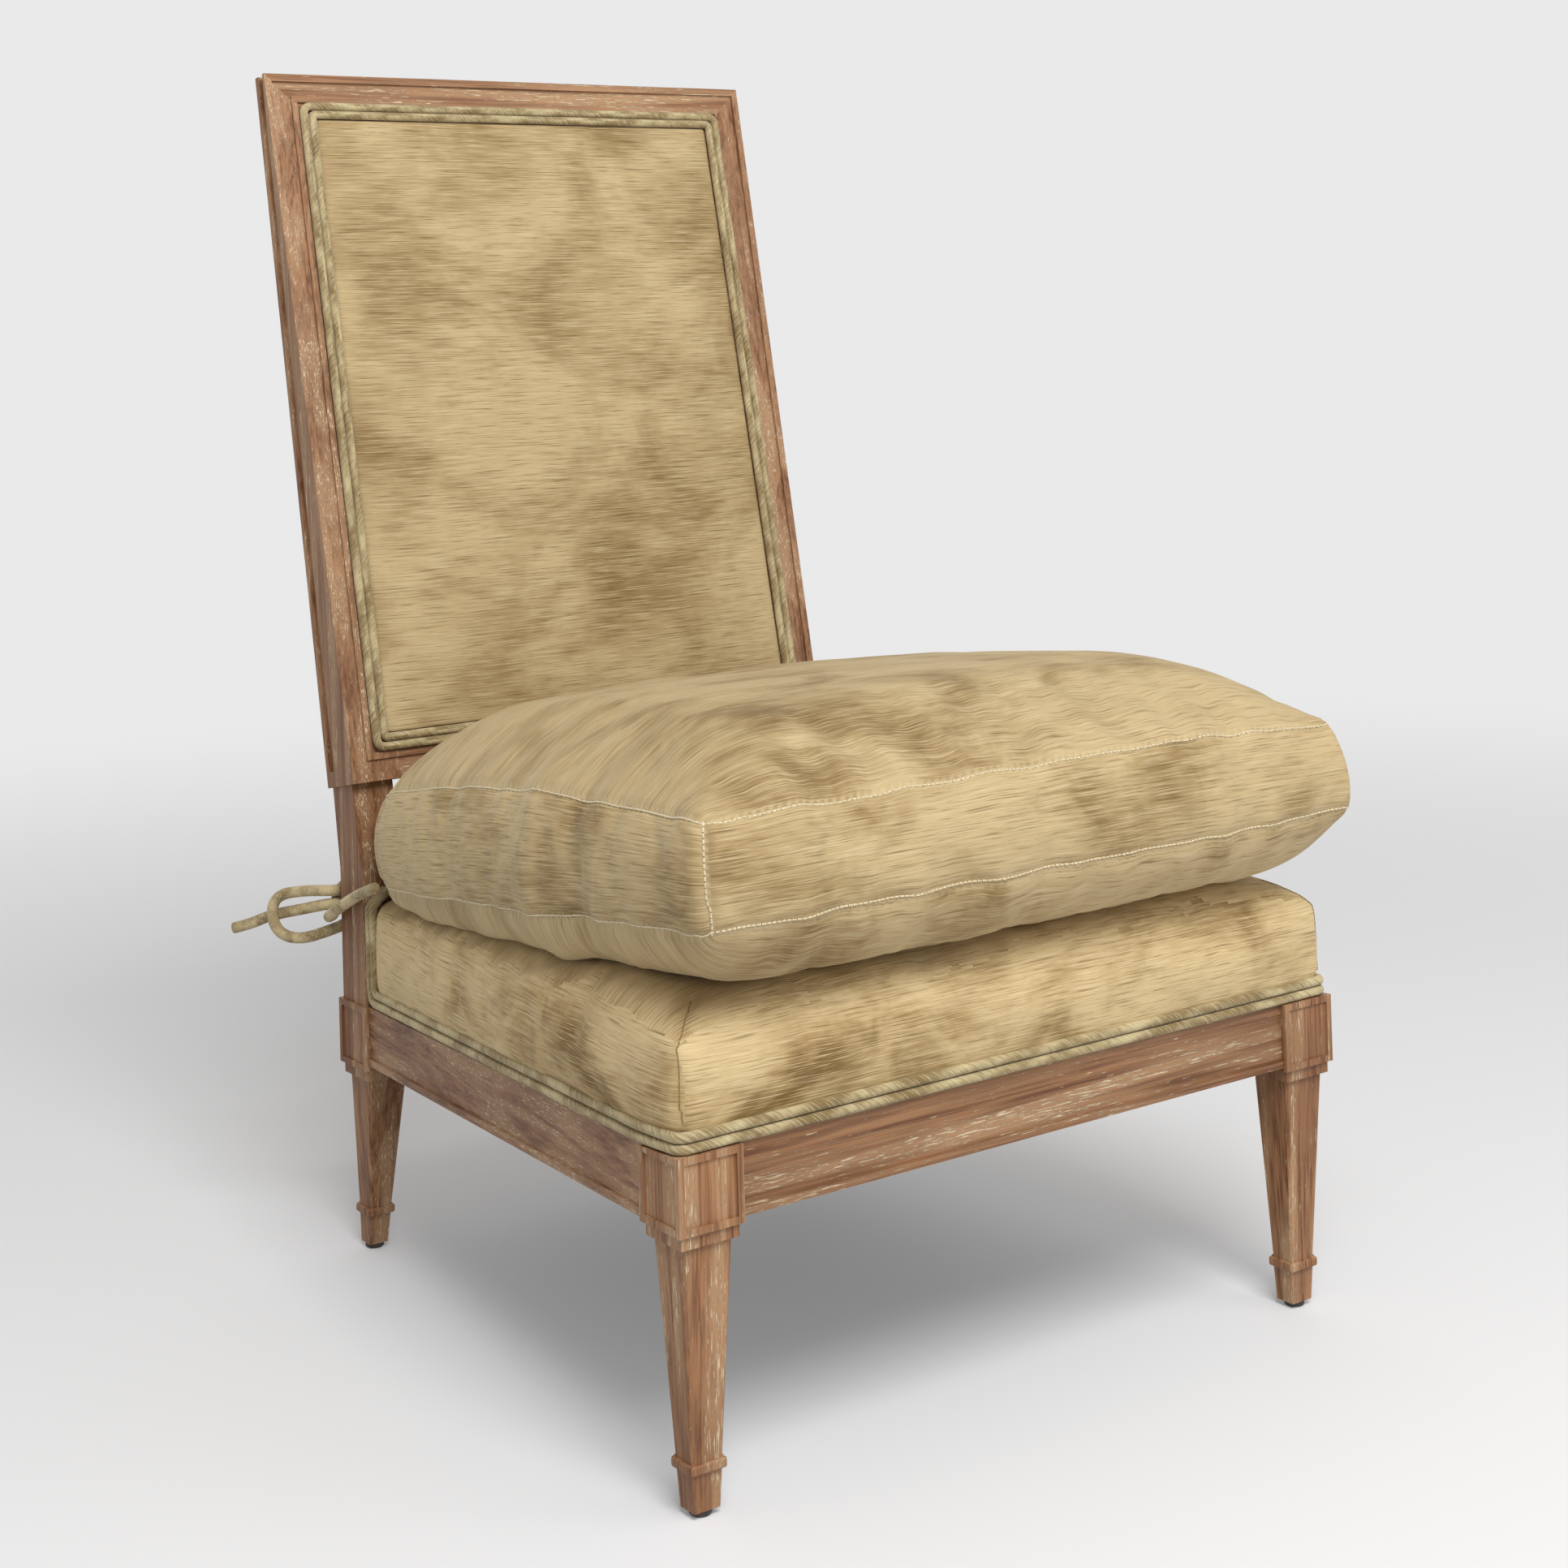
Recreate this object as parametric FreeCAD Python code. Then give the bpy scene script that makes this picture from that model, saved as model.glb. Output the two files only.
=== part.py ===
import FreeCAD, Part
import math
import os

# Slipper chair: limed oak frame, upholstered back and seat, loose tied cushion.
# All sizes are millimetres. Lengths in depth are measured back from the front face
# of the front leg blocks, and the finished model is centred on the origin.

# Seat frame in plan and height
front_width = 545.0
rear_width = 436.0
seat_depth = 553.5
front_block_top = 216.0
seat_fall = 24.5

# Leg blocks
front_block_width = 46.0
front_block_depth = 43.0
front_block_height = 46.0
rear_block_width = 42.5
rear_block_depth = 43.0
rear_block_height = 48.0
panel_border = 4.5
panel_recess = 1.5

# Legs below the blocks
neck_height = 8.0
neck_inset = 2.6
shaft_inset = 5.6
collar_inset = 12.0
foot_inset = 14.0
collar_top = 33.5
collar_height = 6.5
collar_stand = 1.9
collar_round = 1.8
foot_shoulder = 0.7
rear_leg_kick = 15.0
arris = 1.6

# Glides
glide_radius = 7.0
glide_height = 4.0
glide_round = 1.2
glide_stem_radius = 1.6
glide_stem_length = 12.0
stem_clearance = 0.05

# Seat rails
rail_height = 43.0
rail_thickness = 24.0
rail_setback = 4.0
bead_height = 5.0
bead_setback = 2.2
tenon_length = 20.0
tenon_thickness = 9.0
tenon_height = 26.0
mortise_clearance = 0.15
brace_reach = 46.0
brace_height = 24.0
brace_drop = 9.0

# Rear posts between the seat and the back
post_inset = 2.4
post_width = 34.0
post_front_inset = 3.0
post_depth = 36.5
kink_height = 290.0
post_in_stile = 25.0

# Back frame, in its own plane
back_rake = 11.57
back_foot_y = 518.0
back_foot_z = 357.8
back_length = 556.0
back_bottom_width = 436.4
back_top_width = 451.4
back_foot_depth = 45.0
back_head_depth = 16.0
stile_inner = 178.0
top_rail_width = 46.0
bottom_rail_width = 40.0
back_tenon = 22.0
back_tenon_thickness = 6.0
fillet_width = 6.0
field_recess = 2.0
bead_outer_half = 204.5
bead_width = 5.0
bead_bottom = 16.0
bead_top = 538.0
groove_from_rear = 5.0
groove_width = 8.0
groove_depth = 2.4
groove_start = 12.0
rear_border = 13.0
rear_rebate = 2.6

screw_radius = 2.0
screw_length = 34.0
screw_head_radius = 4.0
screw_head_height = 2.6
screw_sink = 1.0
screw_gap = 0.1
screw_lean = 0.2

# Webbing and hessian
web_width = 50.0
web_thickness = 1.5
web_bearing = 14.0
seat_web_count = 5
cross_web_count = 5
back_web_count = 3
back_cross_count = 4
hessian_thickness = 1.0
cloth_gap = 0.3
block_gap = 1.0
lining_thickness = 0.8
lining_margin = 5.0
tack_radius = 3.0
tack_height = 1.2
tack_gap = 0.2
tacks_per_rail = 6

# Seat upholstery
cover_thickness = 2.0
wall_foot_inset = 1.5
wall_middle_inset = 2.5
wall_top_inset = 4.5
seat_bow = 2.0
flat_bow = 0.1
seat_rear_tuck = 3.0
seat_corner_radius = 8.0
seat_edge_height = 63.0
seat_edge_rise = 33.0
seat_edge_power = 12.0
wall_steps = 3

# Double welts
welt_radius = 3.3
welt_pitch = 6.8
welt_corner = 7.0
welt_gap = 0.3
welt_inset = 0.4
welt_turn_in = 14.0

# Back upholstery
back_pad_edge = 0.5
back_pad_crown = 10.0
back_pad_rear = 8.5
outside_cloth = 1.6

# Loose cushion
cushion_front = -19.0
cushion_front_mid = 379.5
cushion_tilt = 6.95
cushion_length = 506.0
cushion_front_half = 256.0
cushion_rear_half = 203.0
cushion_corner = 10.0
boxing_height = 62.0
boxing_bulge = 14.0
boxing_low_bulge = 8.0
wall_reach = 48.0
boxing_steps = 6
inner_steps = 3
cushion_crown = 44.0
cushion_belly = 42.0
cushion_bias = -0.08
crown_power = 8.0
belly_power = 14.0
front_bow = 3.0
side_bow = 12.0
rear_bow = 3.0
seam_bow = 14.0
front_seam_bow = 4.0
belly_bow = 0.0
seam_lift = 3.0
case_thickness = 1.6
seat_contact_gap = 0.6

# Cushion ties
tie_radius = 4.3
tie_route_fit = 0.45


def vec(x, y, z):
    return FreeCAD.Vector(x, y, z)


def box(x0, x1, y0, y1, z0, z1):
    return Part.makeBox(x1 - x0, y1 - y0, z1 - z0, vec(x0, y0, z0))


def polygon(points):
    return Part.makePolygon(list(points) + [points[0]])


def hexa(first, second):
    return Part.makeLoft([polygon(first), polygon(second)], True, True)


def level_rect(x0, x1, y0, y1, z):
    return [vec(x0, y0, z), vec(x1, y0, z), vec(x1, y1, z), vec(x0, y1, z)]


def end_rect(x0, x1, y, z0, z1):
    return [vec(x0, y, z0), vec(x1, y, z0), vec(x1, y, z1), vec(x0, y, z1)]


def mirrored(shape):
    return shape.mirror(vec(0, 0, 0), vec(1, 0, 0))


def prism(points, direction):
    return Part.Face(polygon(points)).extrude(direction)


# Sizes worked out from the driving dimensions
front_half = front_width / 2.0
rear_half = rear_width / 2.0
fall_slope = seat_fall / (seat_depth - rear_block_depth)
rear_block_top = front_block_top - seat_fall
rake = math.radians(back_rake)
back_rear_y = (
    back_foot_y + back_length * math.sin(rake) + back_head_depth * math.cos(rake)
)
tilt = math.radians(cushion_tilt)
cushion_nose = cushion_front - front_bow - boxing_bulge * math.cos(tilt)
middle_y = (back_rear_y + cushion_nose) / 2.0
side_run = seat_depth - front_block_depth - rear_block_depth
side_slope = (front_half - rear_half) / side_run


rear_face_y = seat_depth - rear_block_depth


def rail_top(y):
    return front_block_top - fall_slope * y


def side_face(y):
    """Half width of the seat frame at depth y, along its side rails."""
    run = min(max(y - front_block_depth, 0.0), side_run)
    return front_half - side_slope * run


# The seat cover stands behind its double welt, which stands inside the frame's faces
cover_setback = welt_inset + 2 * welt_radius + 2 * welt_gap
welt_band = 2 * welt_radius + welt_pitch + 2 * welt_gap
post_front = rear_face_y + post_front_inset
post_outer = rear_half - post_inset
channel_depth = 2 * welt_radius + 2 * welt_gap


nodes = {}


def save(name, shape):
    shape = shape.copy()
    shape.translate(vec(0, -middle_y, 0))
    nodes[name] = shape
    shape.exportStep("parts/" + name + ".step")


def back_place(shape):
    """Move a piece drawn upright (depth along Y, height along Z) into the raked back."""
    shape = shape.copy()
    shape.rotate(vec(0, 0, 0), vec(1, 0, 0), -back_rake)
    shape.translate(vec(0, back_foot_y, back_foot_z))
    return shape


# Legs
def tapered_leg(x0, x1, y0, y1, block_bottom, kick):
    """Neck, tapered shaft, moulded collar and foot below a block of the given plan."""
    neck_bottom = block_bottom - neck_height
    collar_bottom = collar_top - collar_height

    def plan(inset, z):
        shift = kick * (neck_bottom - z) / neck_bottom
        return level_rect(
            x0 + inset, x1 - inset, y0 + inset + shift, y1 - inset + shift, z
        )

    neck = box(
        x0 + neck_inset,
        x1 - neck_inset,
        y0 + neck_inset,
        y1 - neck_inset,
        neck_bottom,
        block_bottom,
    )
    shaft = hexa(plan(shaft_inset, neck_bottom), plan(collar_inset, collar_top))
    long_edges = [e for e in shaft.Edges if e.Length > 0.8 * (neck_bottom - collar_top)]
    shaft = shaft.makeChamfer(arris, long_edges)
    collar_out = collar_inset - collar_stand
    collar = hexa(plan(collar_out, collar_bottom), plan(collar_out, collar_top))
    collar = collar.makeFillet(collar_round, collar.Edges)
    foot = hexa(
        plan(collar_inset + foot_shoulder, collar_bottom + collar_round),
        plan(foot_inset, glide_height),
    )
    core = hexa(
        plan(collar_inset, collar_top + 1.0), plan(collar_inset, collar_bottom)
    )
    leg = neck.fuse([shaft, core, collar, foot])
    foot_x = (x0 + x1) / 2.0
    foot_y = (y0 + y1) / 2.0 + kick * (neck_bottom - glide_height) / neck_bottom
    hole = Part.makeCylinder(
        glide_stem_radius + stem_clearance,
        glide_stem_length + stem_clearance,
        vec(foot_x, foot_y, glide_height),
    )
    return leg.cut(hole).removeSplitter(), foot_x, foot_y


def glide(x, y):
    disc = Part.makeCylinder(glide_radius, glide_height, vec(x, y, 0))
    rim = [e for e in disc.Edges if e.BoundBox.ZMax < 0.1 and e.Curve.TypeId == "Part::GeomCircle"]
    disc = disc.makeChamfer(glide_round, rim)
    stem = Part.makeCylinder(
        glide_stem_radius, glide_stem_length, vec(x, y, glide_height)
    )
    return disc.fuse(stem)


def mortise(x0, x1, y0, y1, z0, z1):
    c = mortise_clearance
    return box(x0 - c, x1 + c, y0 - c, y1 + c, z0 - c, z1 + c)


# Tenons of the seat rails, as boxes shared by the rails and their mortises
front_rail_y = rail_setback + rail_thickness / 2.0
front_tenon_mid = rail_top(front_rail_y) - rail_height / 2.0
rear_rail_y = seat_depth - rail_setback - rail_thickness / 2.0
rear_tenon_mid = rail_top(rear_rail_y) - rail_height / 2.0
side_front_x = -(front_half - rail_setback - rail_thickness / 2.0)
side_rear_x = -(rear_half - rail_setback - rail_thickness / 2.0)
side_front_mid = rail_top(front_block_depth) - rail_height / 2.0
side_rear_mid = rail_top(rear_face_y) - rail_height / 2.0
half_t = tenon_thickness / 2.0
half_h = tenon_height / 2.0
front_tenon = (
    -front_half + front_block_width - tenon_length,
    -front_half + front_block_width,
    front_rail_y - half_t,
    front_rail_y + half_t,
    front_tenon_mid - half_h,
    front_tenon_mid + half_h,
)
rear_tenon = (
    -rear_half + rear_block_width - tenon_length,
    -rear_half + rear_block_width,
    rear_rail_y - half_t,
    rear_rail_y + half_t,
    rear_tenon_mid - half_h,
    rear_tenon_mid + half_h,
)
side_front_tenon = (
    side_front_x - half_t,
    side_front_x + half_t,
    front_block_depth - tenon_length,
    front_block_depth,
    side_front_mid - half_h,
    side_front_mid + half_h,
)
side_rear_tenon = (
    side_rear_x - half_t,
    side_rear_x + half_t,
    rear_face_y,
    rear_face_y + tenon_length,
    side_rear_mid - half_h,
    side_rear_mid + half_h,
)


def sunk_panels(x0, x1, y0, y1, z0, z1, face):
    """Cutters that sink a bordered panel in the outer side and in one other face."""
    b = panel_border
    side = box(x0 - 1, x0 + panel_recess, y0 + b, y1 - b, z0 + b, z1 - b)
    if face == "front":
        other = box(x0 + b, x1 - b, y0 - 1, y0 + panel_recess, z0 + b, z1 - b)
    else:
        other = box(x0 + b, x1 - b, y1 - panel_recess, y1 + 1, z0 + b, z1 - b)
    return [side, other]


def front_leg():
    x0 = -front_half
    x1 = x0 + front_block_width
    bottom = front_block_top - front_block_height
    block = box(x0, x1, 0, front_block_depth, bottom, front_block_top)
    block = block.cut(
        sunk_panels(x0, x1, 0, front_block_depth, bottom, front_block_top, "front")
    )
    slope = hexa(
        end_rect(x0 - 1, x1 + 1, -1, rail_top(-1), rail_top(-1) + front_block_depth),
        end_rect(
            x0 - 1,
            x1 + 1,
            front_block_depth + 1,
            rail_top(front_block_depth + 1),
            rail_top(front_block_depth + 1) + front_block_depth,
        ),
    )
    block = block.cut(slope)
    leg, gx, gy = tapered_leg(x0, x1, 0, front_block_depth, bottom, 0.0)
    whole = block.fuse(leg)
    whole = whole.cut([mortise(*front_tenon), mortise(*side_front_tenon)])
    return whole, glide(gx, gy)


# Back frame, drawn upright: X across, Y into the back, Z up the back
def frame_depth(s):
    return back_foot_depth + (back_head_depth - back_foot_depth) * s / back_length


def frame_half(s):
    return (
        back_bottom_width + (back_top_width - back_bottom_width) * s / back_length
    ) / 2.0


def stile_blank():
    low = [
        vec(-frame_half(0), 0, 0),
        vec(-stile_inner, 0, 0),
        vec(-stile_inner, frame_depth(0), 0),
        vec(-frame_half(0), frame_depth(0), 0),
    ]
    high = [
        vec(-frame_half(back_length), 0, back_length),
        vec(-stile_inner, 0, back_length),
        vec(-stile_inner, frame_depth(back_length), back_length),
        vec(-frame_half(back_length), frame_depth(back_length), back_length),
    ]
    return hexa(low, high)


def frame_slab(z0, z1, half_low, half_high):
    """A cross piece of the back with the frame's taper in depth."""
    low = [
        vec(-half_low, 0, z0),
        vec(half_low, 0, z0),
        vec(half_low, frame_depth(z0), z0),
        vec(-half_low, frame_depth(z0), z0),
    ]
    high = [
        vec(-half_high, 0, z1),
        vec(half_high, 0, z1),
        vec(half_high, frame_depth(z1), z1),
        vec(-half_high, frame_depth(z1), z1),
    ]
    return hexa(low, high)


def front_mouldings():
    """The sunk field and the inner rebate round the front of the back frame."""
    f = fillet_width
    outer = prism(
        [
            vec(-frame_half(f) + f, -1, f),
            vec(frame_half(f) - f, -1, f),
            vec(frame_half(back_length) - f, -1, back_length - f),
            vec(-frame_half(back_length) + f, -1, back_length - f),
        ],
        vec(0, field_recess + 1, 0),
    )
    bead = box(
        -bead_outer_half, bead_outer_half, -2, field_recess + 1, bead_bottom, bead_top
    )
    rebate = box(
        -bead_outer_half + bead_width,
        bead_outer_half - bead_width,
        -1,
        field_recess,
        bead_bottom + bead_width,
        bead_top - bead_width,
    )
    return outer.cut(bead).fuse(rebate)


def side_groove():
    """Sunk channel down the outer side of a stile, parallel to its rear face."""
    g0 = groove_from_rear + groove_width
    g1 = groove_from_rear
    top = back_length + 1

    def ring(z):
        x = -frame_half(z)
        return [
            vec(x - 2, frame_depth(z) - g0, z),
            vec(x + groove_depth, frame_depth(z) - g0, z),
            vec(x + groove_depth, frame_depth(z) - g1, z),
            vec(x - 2, frame_depth(z) - g1, z),
        ]

    return hexa(ring(groove_start), ring(top))


def top_groove():
    depth = frame_depth(back_length)
    half = frame_half(back_length) + 2
    return box(
        -half,
        half,
        depth - groove_from_rear - groove_width,
        depth - groove_from_rear,
        back_length - groove_depth,
        back_length + 1,
    )


def rear_rebate_cut():
    """Shallow rebate in the rear face for the outside back."""
    low = rear_border
    high = back_length - rear_border

    def ring(z):
        x = frame_half(z) - rear_border
        d = frame_depth(z)
        return [
            vec(-x, d - rear_rebate, z),
            vec(x, d - rear_rebate, z),
            vec(x, d + 2, z),
            vec(-x, d + 2, z),
        ]

    return hexa(ring(low), ring(high))


def mitre_prism():
    """Everything above the mitre lines at the two top corners."""
    outer = frame_half(back_length)
    low = back_length - top_rail_width
    points = [
        vec(-outer, -5, back_length),
        vec(-stile_inner, -5, low),
        vec(stile_inner, -5, low),
        vec(outer, -5, back_length),
    ]
    wedge = prism(points, vec(0, back_foot_depth + 10, 0))
    cap = box(
        -outer - 5, outer + 5, -5, back_foot_depth + 5, back_length, back_length + 5
    )
    return wedge.fuse(cap)


def back_tenon_box(z0, z1, clearance):
    c = clearance
    y0 = field_recess + 2.0
    return box(
        -stile_inner - back_tenon - c,
        -stile_inner + c,
        y0 - c,
        y0 + back_tenon_thickness + c,
        z0 - c,
        z1 + c,
    )


top_tenon_low = back_length - top_rail_width + 6.0
top_tenon_high = back_length - top_rail_width + 24.0
bottom_tenon_low = 10.0
bottom_tenon_high = bottom_rail_width - 8.0
mouldings = front_mouldings()
rear_cut = rear_rebate_cut()


def stile():
    blank = stile_blank().cut(mitre_prism())
    cutters = [
        mouldings,
        rear_cut,
        side_groove(),
    ]
    return blank.cut(cutters)


def back_top_rail():
    low = back_length - top_rail_width
    outer = frame_half(back_length)
    blank = frame_slab(low, back_length, frame_half(low), outer).common(mitre_prism())
    tenon = back_tenon_box(top_tenon_low, top_tenon_high, 0.0)
    blank = blank.fuse([tenon, mirrored(tenon)])
    return blank.cut([mouldings, rear_cut, top_groove()])


def back_bottom_rail():
    blank = frame_slab(0, bottom_rail_width, stile_inner, stile_inner)
    tenon = back_tenon_box(bottom_tenon_low, bottom_tenon_high, 0.0)
    blank = blank.fuse([tenon, mirrored(tenon)])
    return blank.cut([mouldings, rear_cut])


def rear_leg():
    """Rear leg, block, post and back stile worked from one piece."""
    x0 = -rear_half
    x1 = x0 + rear_block_width
    y0 = rear_face_y
    y1 = seat_depth
    bottom = rear_block_top - rear_block_height
    block = box(x0, x1, y0, y1, bottom, rear_block_top)
    block = block.cut(sunk_panels(x0, x1, y0, y1, bottom, rear_block_top, "rear"))
    leg, gx, gy = tapered_leg(x0, x1, y0, y1, bottom, rear_leg_kick)
    front = y0 + post_front_inset
    rear = front + post_depth
    top = back_foot_z + post_in_stile
    rear_slope = math.tan(rake) + (back_head_depth - back_foot_depth) / back_length
    rise = top - kink_height
    outline = [
        vec(x0 + post_inset, front, rear_block_top - 4),
        vec(x0 + post_inset, rear, rear_block_top - 4),
        vec(x0 + post_inset, rear, kink_height),
        vec(x0 + post_inset, rear + rear_slope * rise, top),
        vec(x0 + post_inset, front + math.tan(rake) * rise, top),
        vec(x0 + post_inset, front, kink_height),
    ]
    post = prism(outline, vec(post_width, 0, 0))
    whole = block.fuse([leg, post, back_place(stile())])
    holes = [mortise(*rear_tenon), mortise(*side_rear_tenon)]
    for low, high in (
        (top_tenon_low, top_tenon_high),
        (bottom_tenon_low, bottom_tenon_high),
    ):
        holes.append(back_place(back_tenon_box(low, high, mortise_clearance)))
    holes.append(back_place(frame_slab(0, bottom_rail_width, stile_inner, stile_inner)))
    return whole.cut(holes).removeSplitter(), glide(gx, gy)


# Seat rails
def cross_rail(half, y_face, out, tenon_box):
    """Front or rear rail between two blocks. out is -1 when its face looks forward."""
    face = y_face - out * rail_setback
    inner = face - out * rail_thickness
    bead_face = y_face - out * bead_setback

    def slab(y, drop, height):
        low = rail_top(y) - drop
        return end_rect(-half, half, y, low, low + height)

    body = hexa(
        slab(face, rail_height, rail_height), slab(inner, rail_height, rail_height)
    )
    bead = hexa(
        slab(bead_face, rail_height, bead_height),
        slab(inner, rail_height, bead_height),
    )
    tenon = box(*tenon_box)
    whole = body.fuse([bead, tenon, mirrored(tenon)]).removeSplitter()
    return whole.cut(pilot_holes(out < 0))


def side_rail():
    y0 = front_block_depth
    y1 = rear_face_y

    def ring(y, setback, z0, z1):
        x = -(side_face(y) - setback)
        inner = -(side_face(y) - rail_setback - rail_thickness)
        return end_rect(x, inner, y, rail_top(y) + z0, rail_top(y) + z1)

    body = hexa(
        ring(y0, rail_setback, -rail_height, 0), ring(y1, rail_setback, -rail_height, 0)
    )
    bead = hexa(
        ring(y0, bead_setback, -rail_height, bead_height - rail_height),
        ring(y1, bead_setback, -rail_height, bead_height - rail_height),
    )
    tenons = [box(*side_front_tenon), box(*side_rear_tenon)]
    whole = body.fuse([bead] + tenons).removeSplitter()
    return whole.cut(pilot_holes(True) + pilot_holes(False))


def brace_plan(front):
    """Corner points of a brace, its bottom height, and the middle of its long face."""
    if front:
        y_rail = rail_setback + rail_thickness
        x_leg = -front_half + front_block_width
        y_leg = front_block_depth
        y_far = y_leg + brace_reach
    else:
        y_rail = seat_depth - rail_setback - rail_thickness
        x_leg = -rear_half + rear_block_width
        y_leg = rear_face_y
        y_far = y_leg - brace_reach

    def inner(y):
        return -(side_face(y) - rail_setback - rail_thickness)

    bottom = rail_top(max(y_far, y_rail)) - brace_drop - brace_height
    points = [
        vec(x_leg, y_rail, bottom),
        vec(x_leg + brace_reach, y_rail, bottom),
        vec(inner(y_far), y_far, bottom),
        vec(inner(y_leg), y_leg, bottom),
        vec(x_leg, y_leg, bottom),
    ]
    return points, bottom


def screw_axes(front):
    """Start and direction of the two screws that hold a brace to its rails."""
    points, bottom = brace_plan(front)
    middle = bottom + brace_height / 2.0
    axes = []
    for share, aim in ((0.24, points[1] - points[2]), (0.76, points[2] - points[1])):
        start = points[1] + (points[2] - points[1]) * share
        face = (points[2] - points[1]).normalize()
        normal = face.cross(vec(0, 0, 1))
        if normal.dot(points[4] - start) < 0:
            normal = normal * -1.0
        direction = (normal + aim.normalize() * screw_lean).normalize()
        axes.append((vec(start.x, start.y, middle), direction))
    return axes


def screw_shape(start, direction, extra):
    """Countersunk screw, with its hole made by the same call and a small extra."""
    seat = start + direction * screw_sink
    shank = Part.makeCylinder(
        screw_radius + extra, screw_length + extra, seat, direction
    )
    head = Part.makeCone(
        screw_head_radius + extra, screw_radius + extra, screw_head_height, seat, direction
    )
    return shank.fuse(head)


def screw_hole(start, direction):
    back = start - direction * screw_head_radius * 2
    mouth = Part.makeCylinder(
        screw_head_radius + screw_gap,
        screw_head_radius * 2 + screw_sink,
        back,
        direction,
    )
    return mouth.fuse(screw_shape(start, direction, screw_gap))


def brace(front):
    """Corner brace glued behind a leg, between two rails, bored for two screws."""
    points, bottom = brace_plan(front)
    block = prism(points, vec(0, 0, brace_height))
    return block.cut([screw_hole(*axis) for axis in screw_axes(front)])


def pilot_holes(front):
    """Holes in the rails for the screws of the two braces at one end."""
    holes = [screw_shape(at, aim, screw_gap) for at, aim in screw_axes(front)]
    return holes + [mirrored(hole) for hole in holes]


def brace_screws(front):
    return [screw_shape(start, aim, 0.0) for start, aim in screw_axes(front)]


# Webbing and hessian of the seat
def inner_half(y):
    return side_face(y) - rail_setback - rail_thickness


def sloped_strip(x0, x1, y0, y1, lift, thickness):
    """Flat strip of cloth lying along the fall of the seat, given by x at each end."""
    first = end_rect(
        x0[0], x0[1], y0, rail_top(y0) + lift, rail_top(y0) + lift + thickness
    )
    second = end_rect(
        x1[0], x1[1], y1, rail_top(y1) + lift, rail_top(y1) + lift + thickness
    )
    return hexa(first, second)


def seat_webbing():
    inside_front = rail_setback + rail_thickness
    inside_rear = seat_depth - inside_front
    y0 = inside_front - web_bearing
    y1 = inside_rear + web_bearing
    pitch = 2 * (inner_half(inside_rear) - web_width) / (seat_web_count - 1)
    strips = []
    for i in range(seat_web_count):
        x = (i - (seat_web_count - 1) / 2.0) * pitch
        span = (x - web_width / 2.0, x + web_width / 2.0)
        strips.append(sloped_strip(span, span, y0, y1, 0.0, web_thickness))
    cross_pitch = (rear_face_y - front_block_depth - web_width) / cross_web_count
    for i in range(cross_web_count):
        y = front_block_depth + web_width / 2.0 + (i + 0.5) * cross_pitch
        a = y - web_width / 2.0
        b = y + web_width / 2.0
        wa = inner_half(a) + web_bearing
        wb = inner_half(b) + web_bearing
        strips.append(
            sloped_strip((-wa, wa), (-wb, wb), a, b, web_thickness, web_thickness)
        )
    return Part.makeCompound(strips)


def seat_hessian():
    lift = 2 * web_thickness
    y0 = rail_setback + rail_thickness - web_bearing
    y1 = rear_face_y - block_gap
    y2 = seat_depth - rail_setback - rail_thickness + web_bearing
    w0 = inner_half(y0) + web_bearing
    w1 = inner_half(y1) + web_bearing
    w2 = rear_half - rear_block_width - block_gap
    wide = sloped_strip((-w0, w0), (-w1, w1), y0, y1, lift, hessian_thickness)
    tail = sloped_strip((-w2, w2), (-w2, w2), y1, y2, lift, hessian_thickness)
    return wide.fuse(tail).removeSplitter()


def dust_cover():
    """Black lining tacked under the rails, short of the leg blocks."""
    y0 = rail_setback + lining_margin
    y1 = front_block_depth + block_gap
    y2 = rear_face_y - block_gap
    y3 = seat_depth - rail_setback - lining_margin
    drop = -rail_height - cloth_gap - lining_thickness

    def reach(y):
        return side_face(y) - rail_setback - lining_margin

    front = front_half - front_block_width - block_gap
    rear = rear_half - rear_block_width - block_gap
    strips = [
        (front, front, y0, y1),
        (reach(y1), reach(y2), y1, y2),
        (rear, rear, y2, y3),
    ]
    shapes = []
    for wa, wb, a, b in strips:
        shapes.append(sloped_strip((-wa, wa), (-wb, wb), a, b, drop, lining_thickness))
    return shapes[0].fuse(shapes[1:]).removeSplitter()


def lining_tacks():
    """Domed tacks that hold the dust cover up to the four rails."""
    tacks = []

    def tack(x, y):
        z = rail_top(y) - rail_height - cloth_gap - lining_thickness
        head = Part.makeCylinder(tack_radius, tack_height, vec(x, y, z - tack_height - tack_gap))
        tacks.append(head)

    edge = lining_margin + tack_radius * 2
    y_front = rail_setback + edge
    y_rear = seat_depth - rail_setback - edge
    half = front_half - front_block_width - block_gap - tack_radius * 3
    for i in range(tacks_per_rail):
        x = half * (2.0 * i / (tacks_per_rail - 1) - 1.0)
        tack(x, y_front)
        tack(x * (rear_half - rear_block_width) / (front_half - front_block_width), y_rear)
    first = front_block_depth + tack_radius * 4
    last = rear_face_y - tack_radius * 4
    for i in range(tacks_per_rail):
        y = first + (last - first) * i / (tacks_per_rail - 1)
        x = side_face(y) - rail_setback - edge
        tack(x, y)
        tack(-x, y)
    return Part.makeCompound(tacks)


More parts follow.
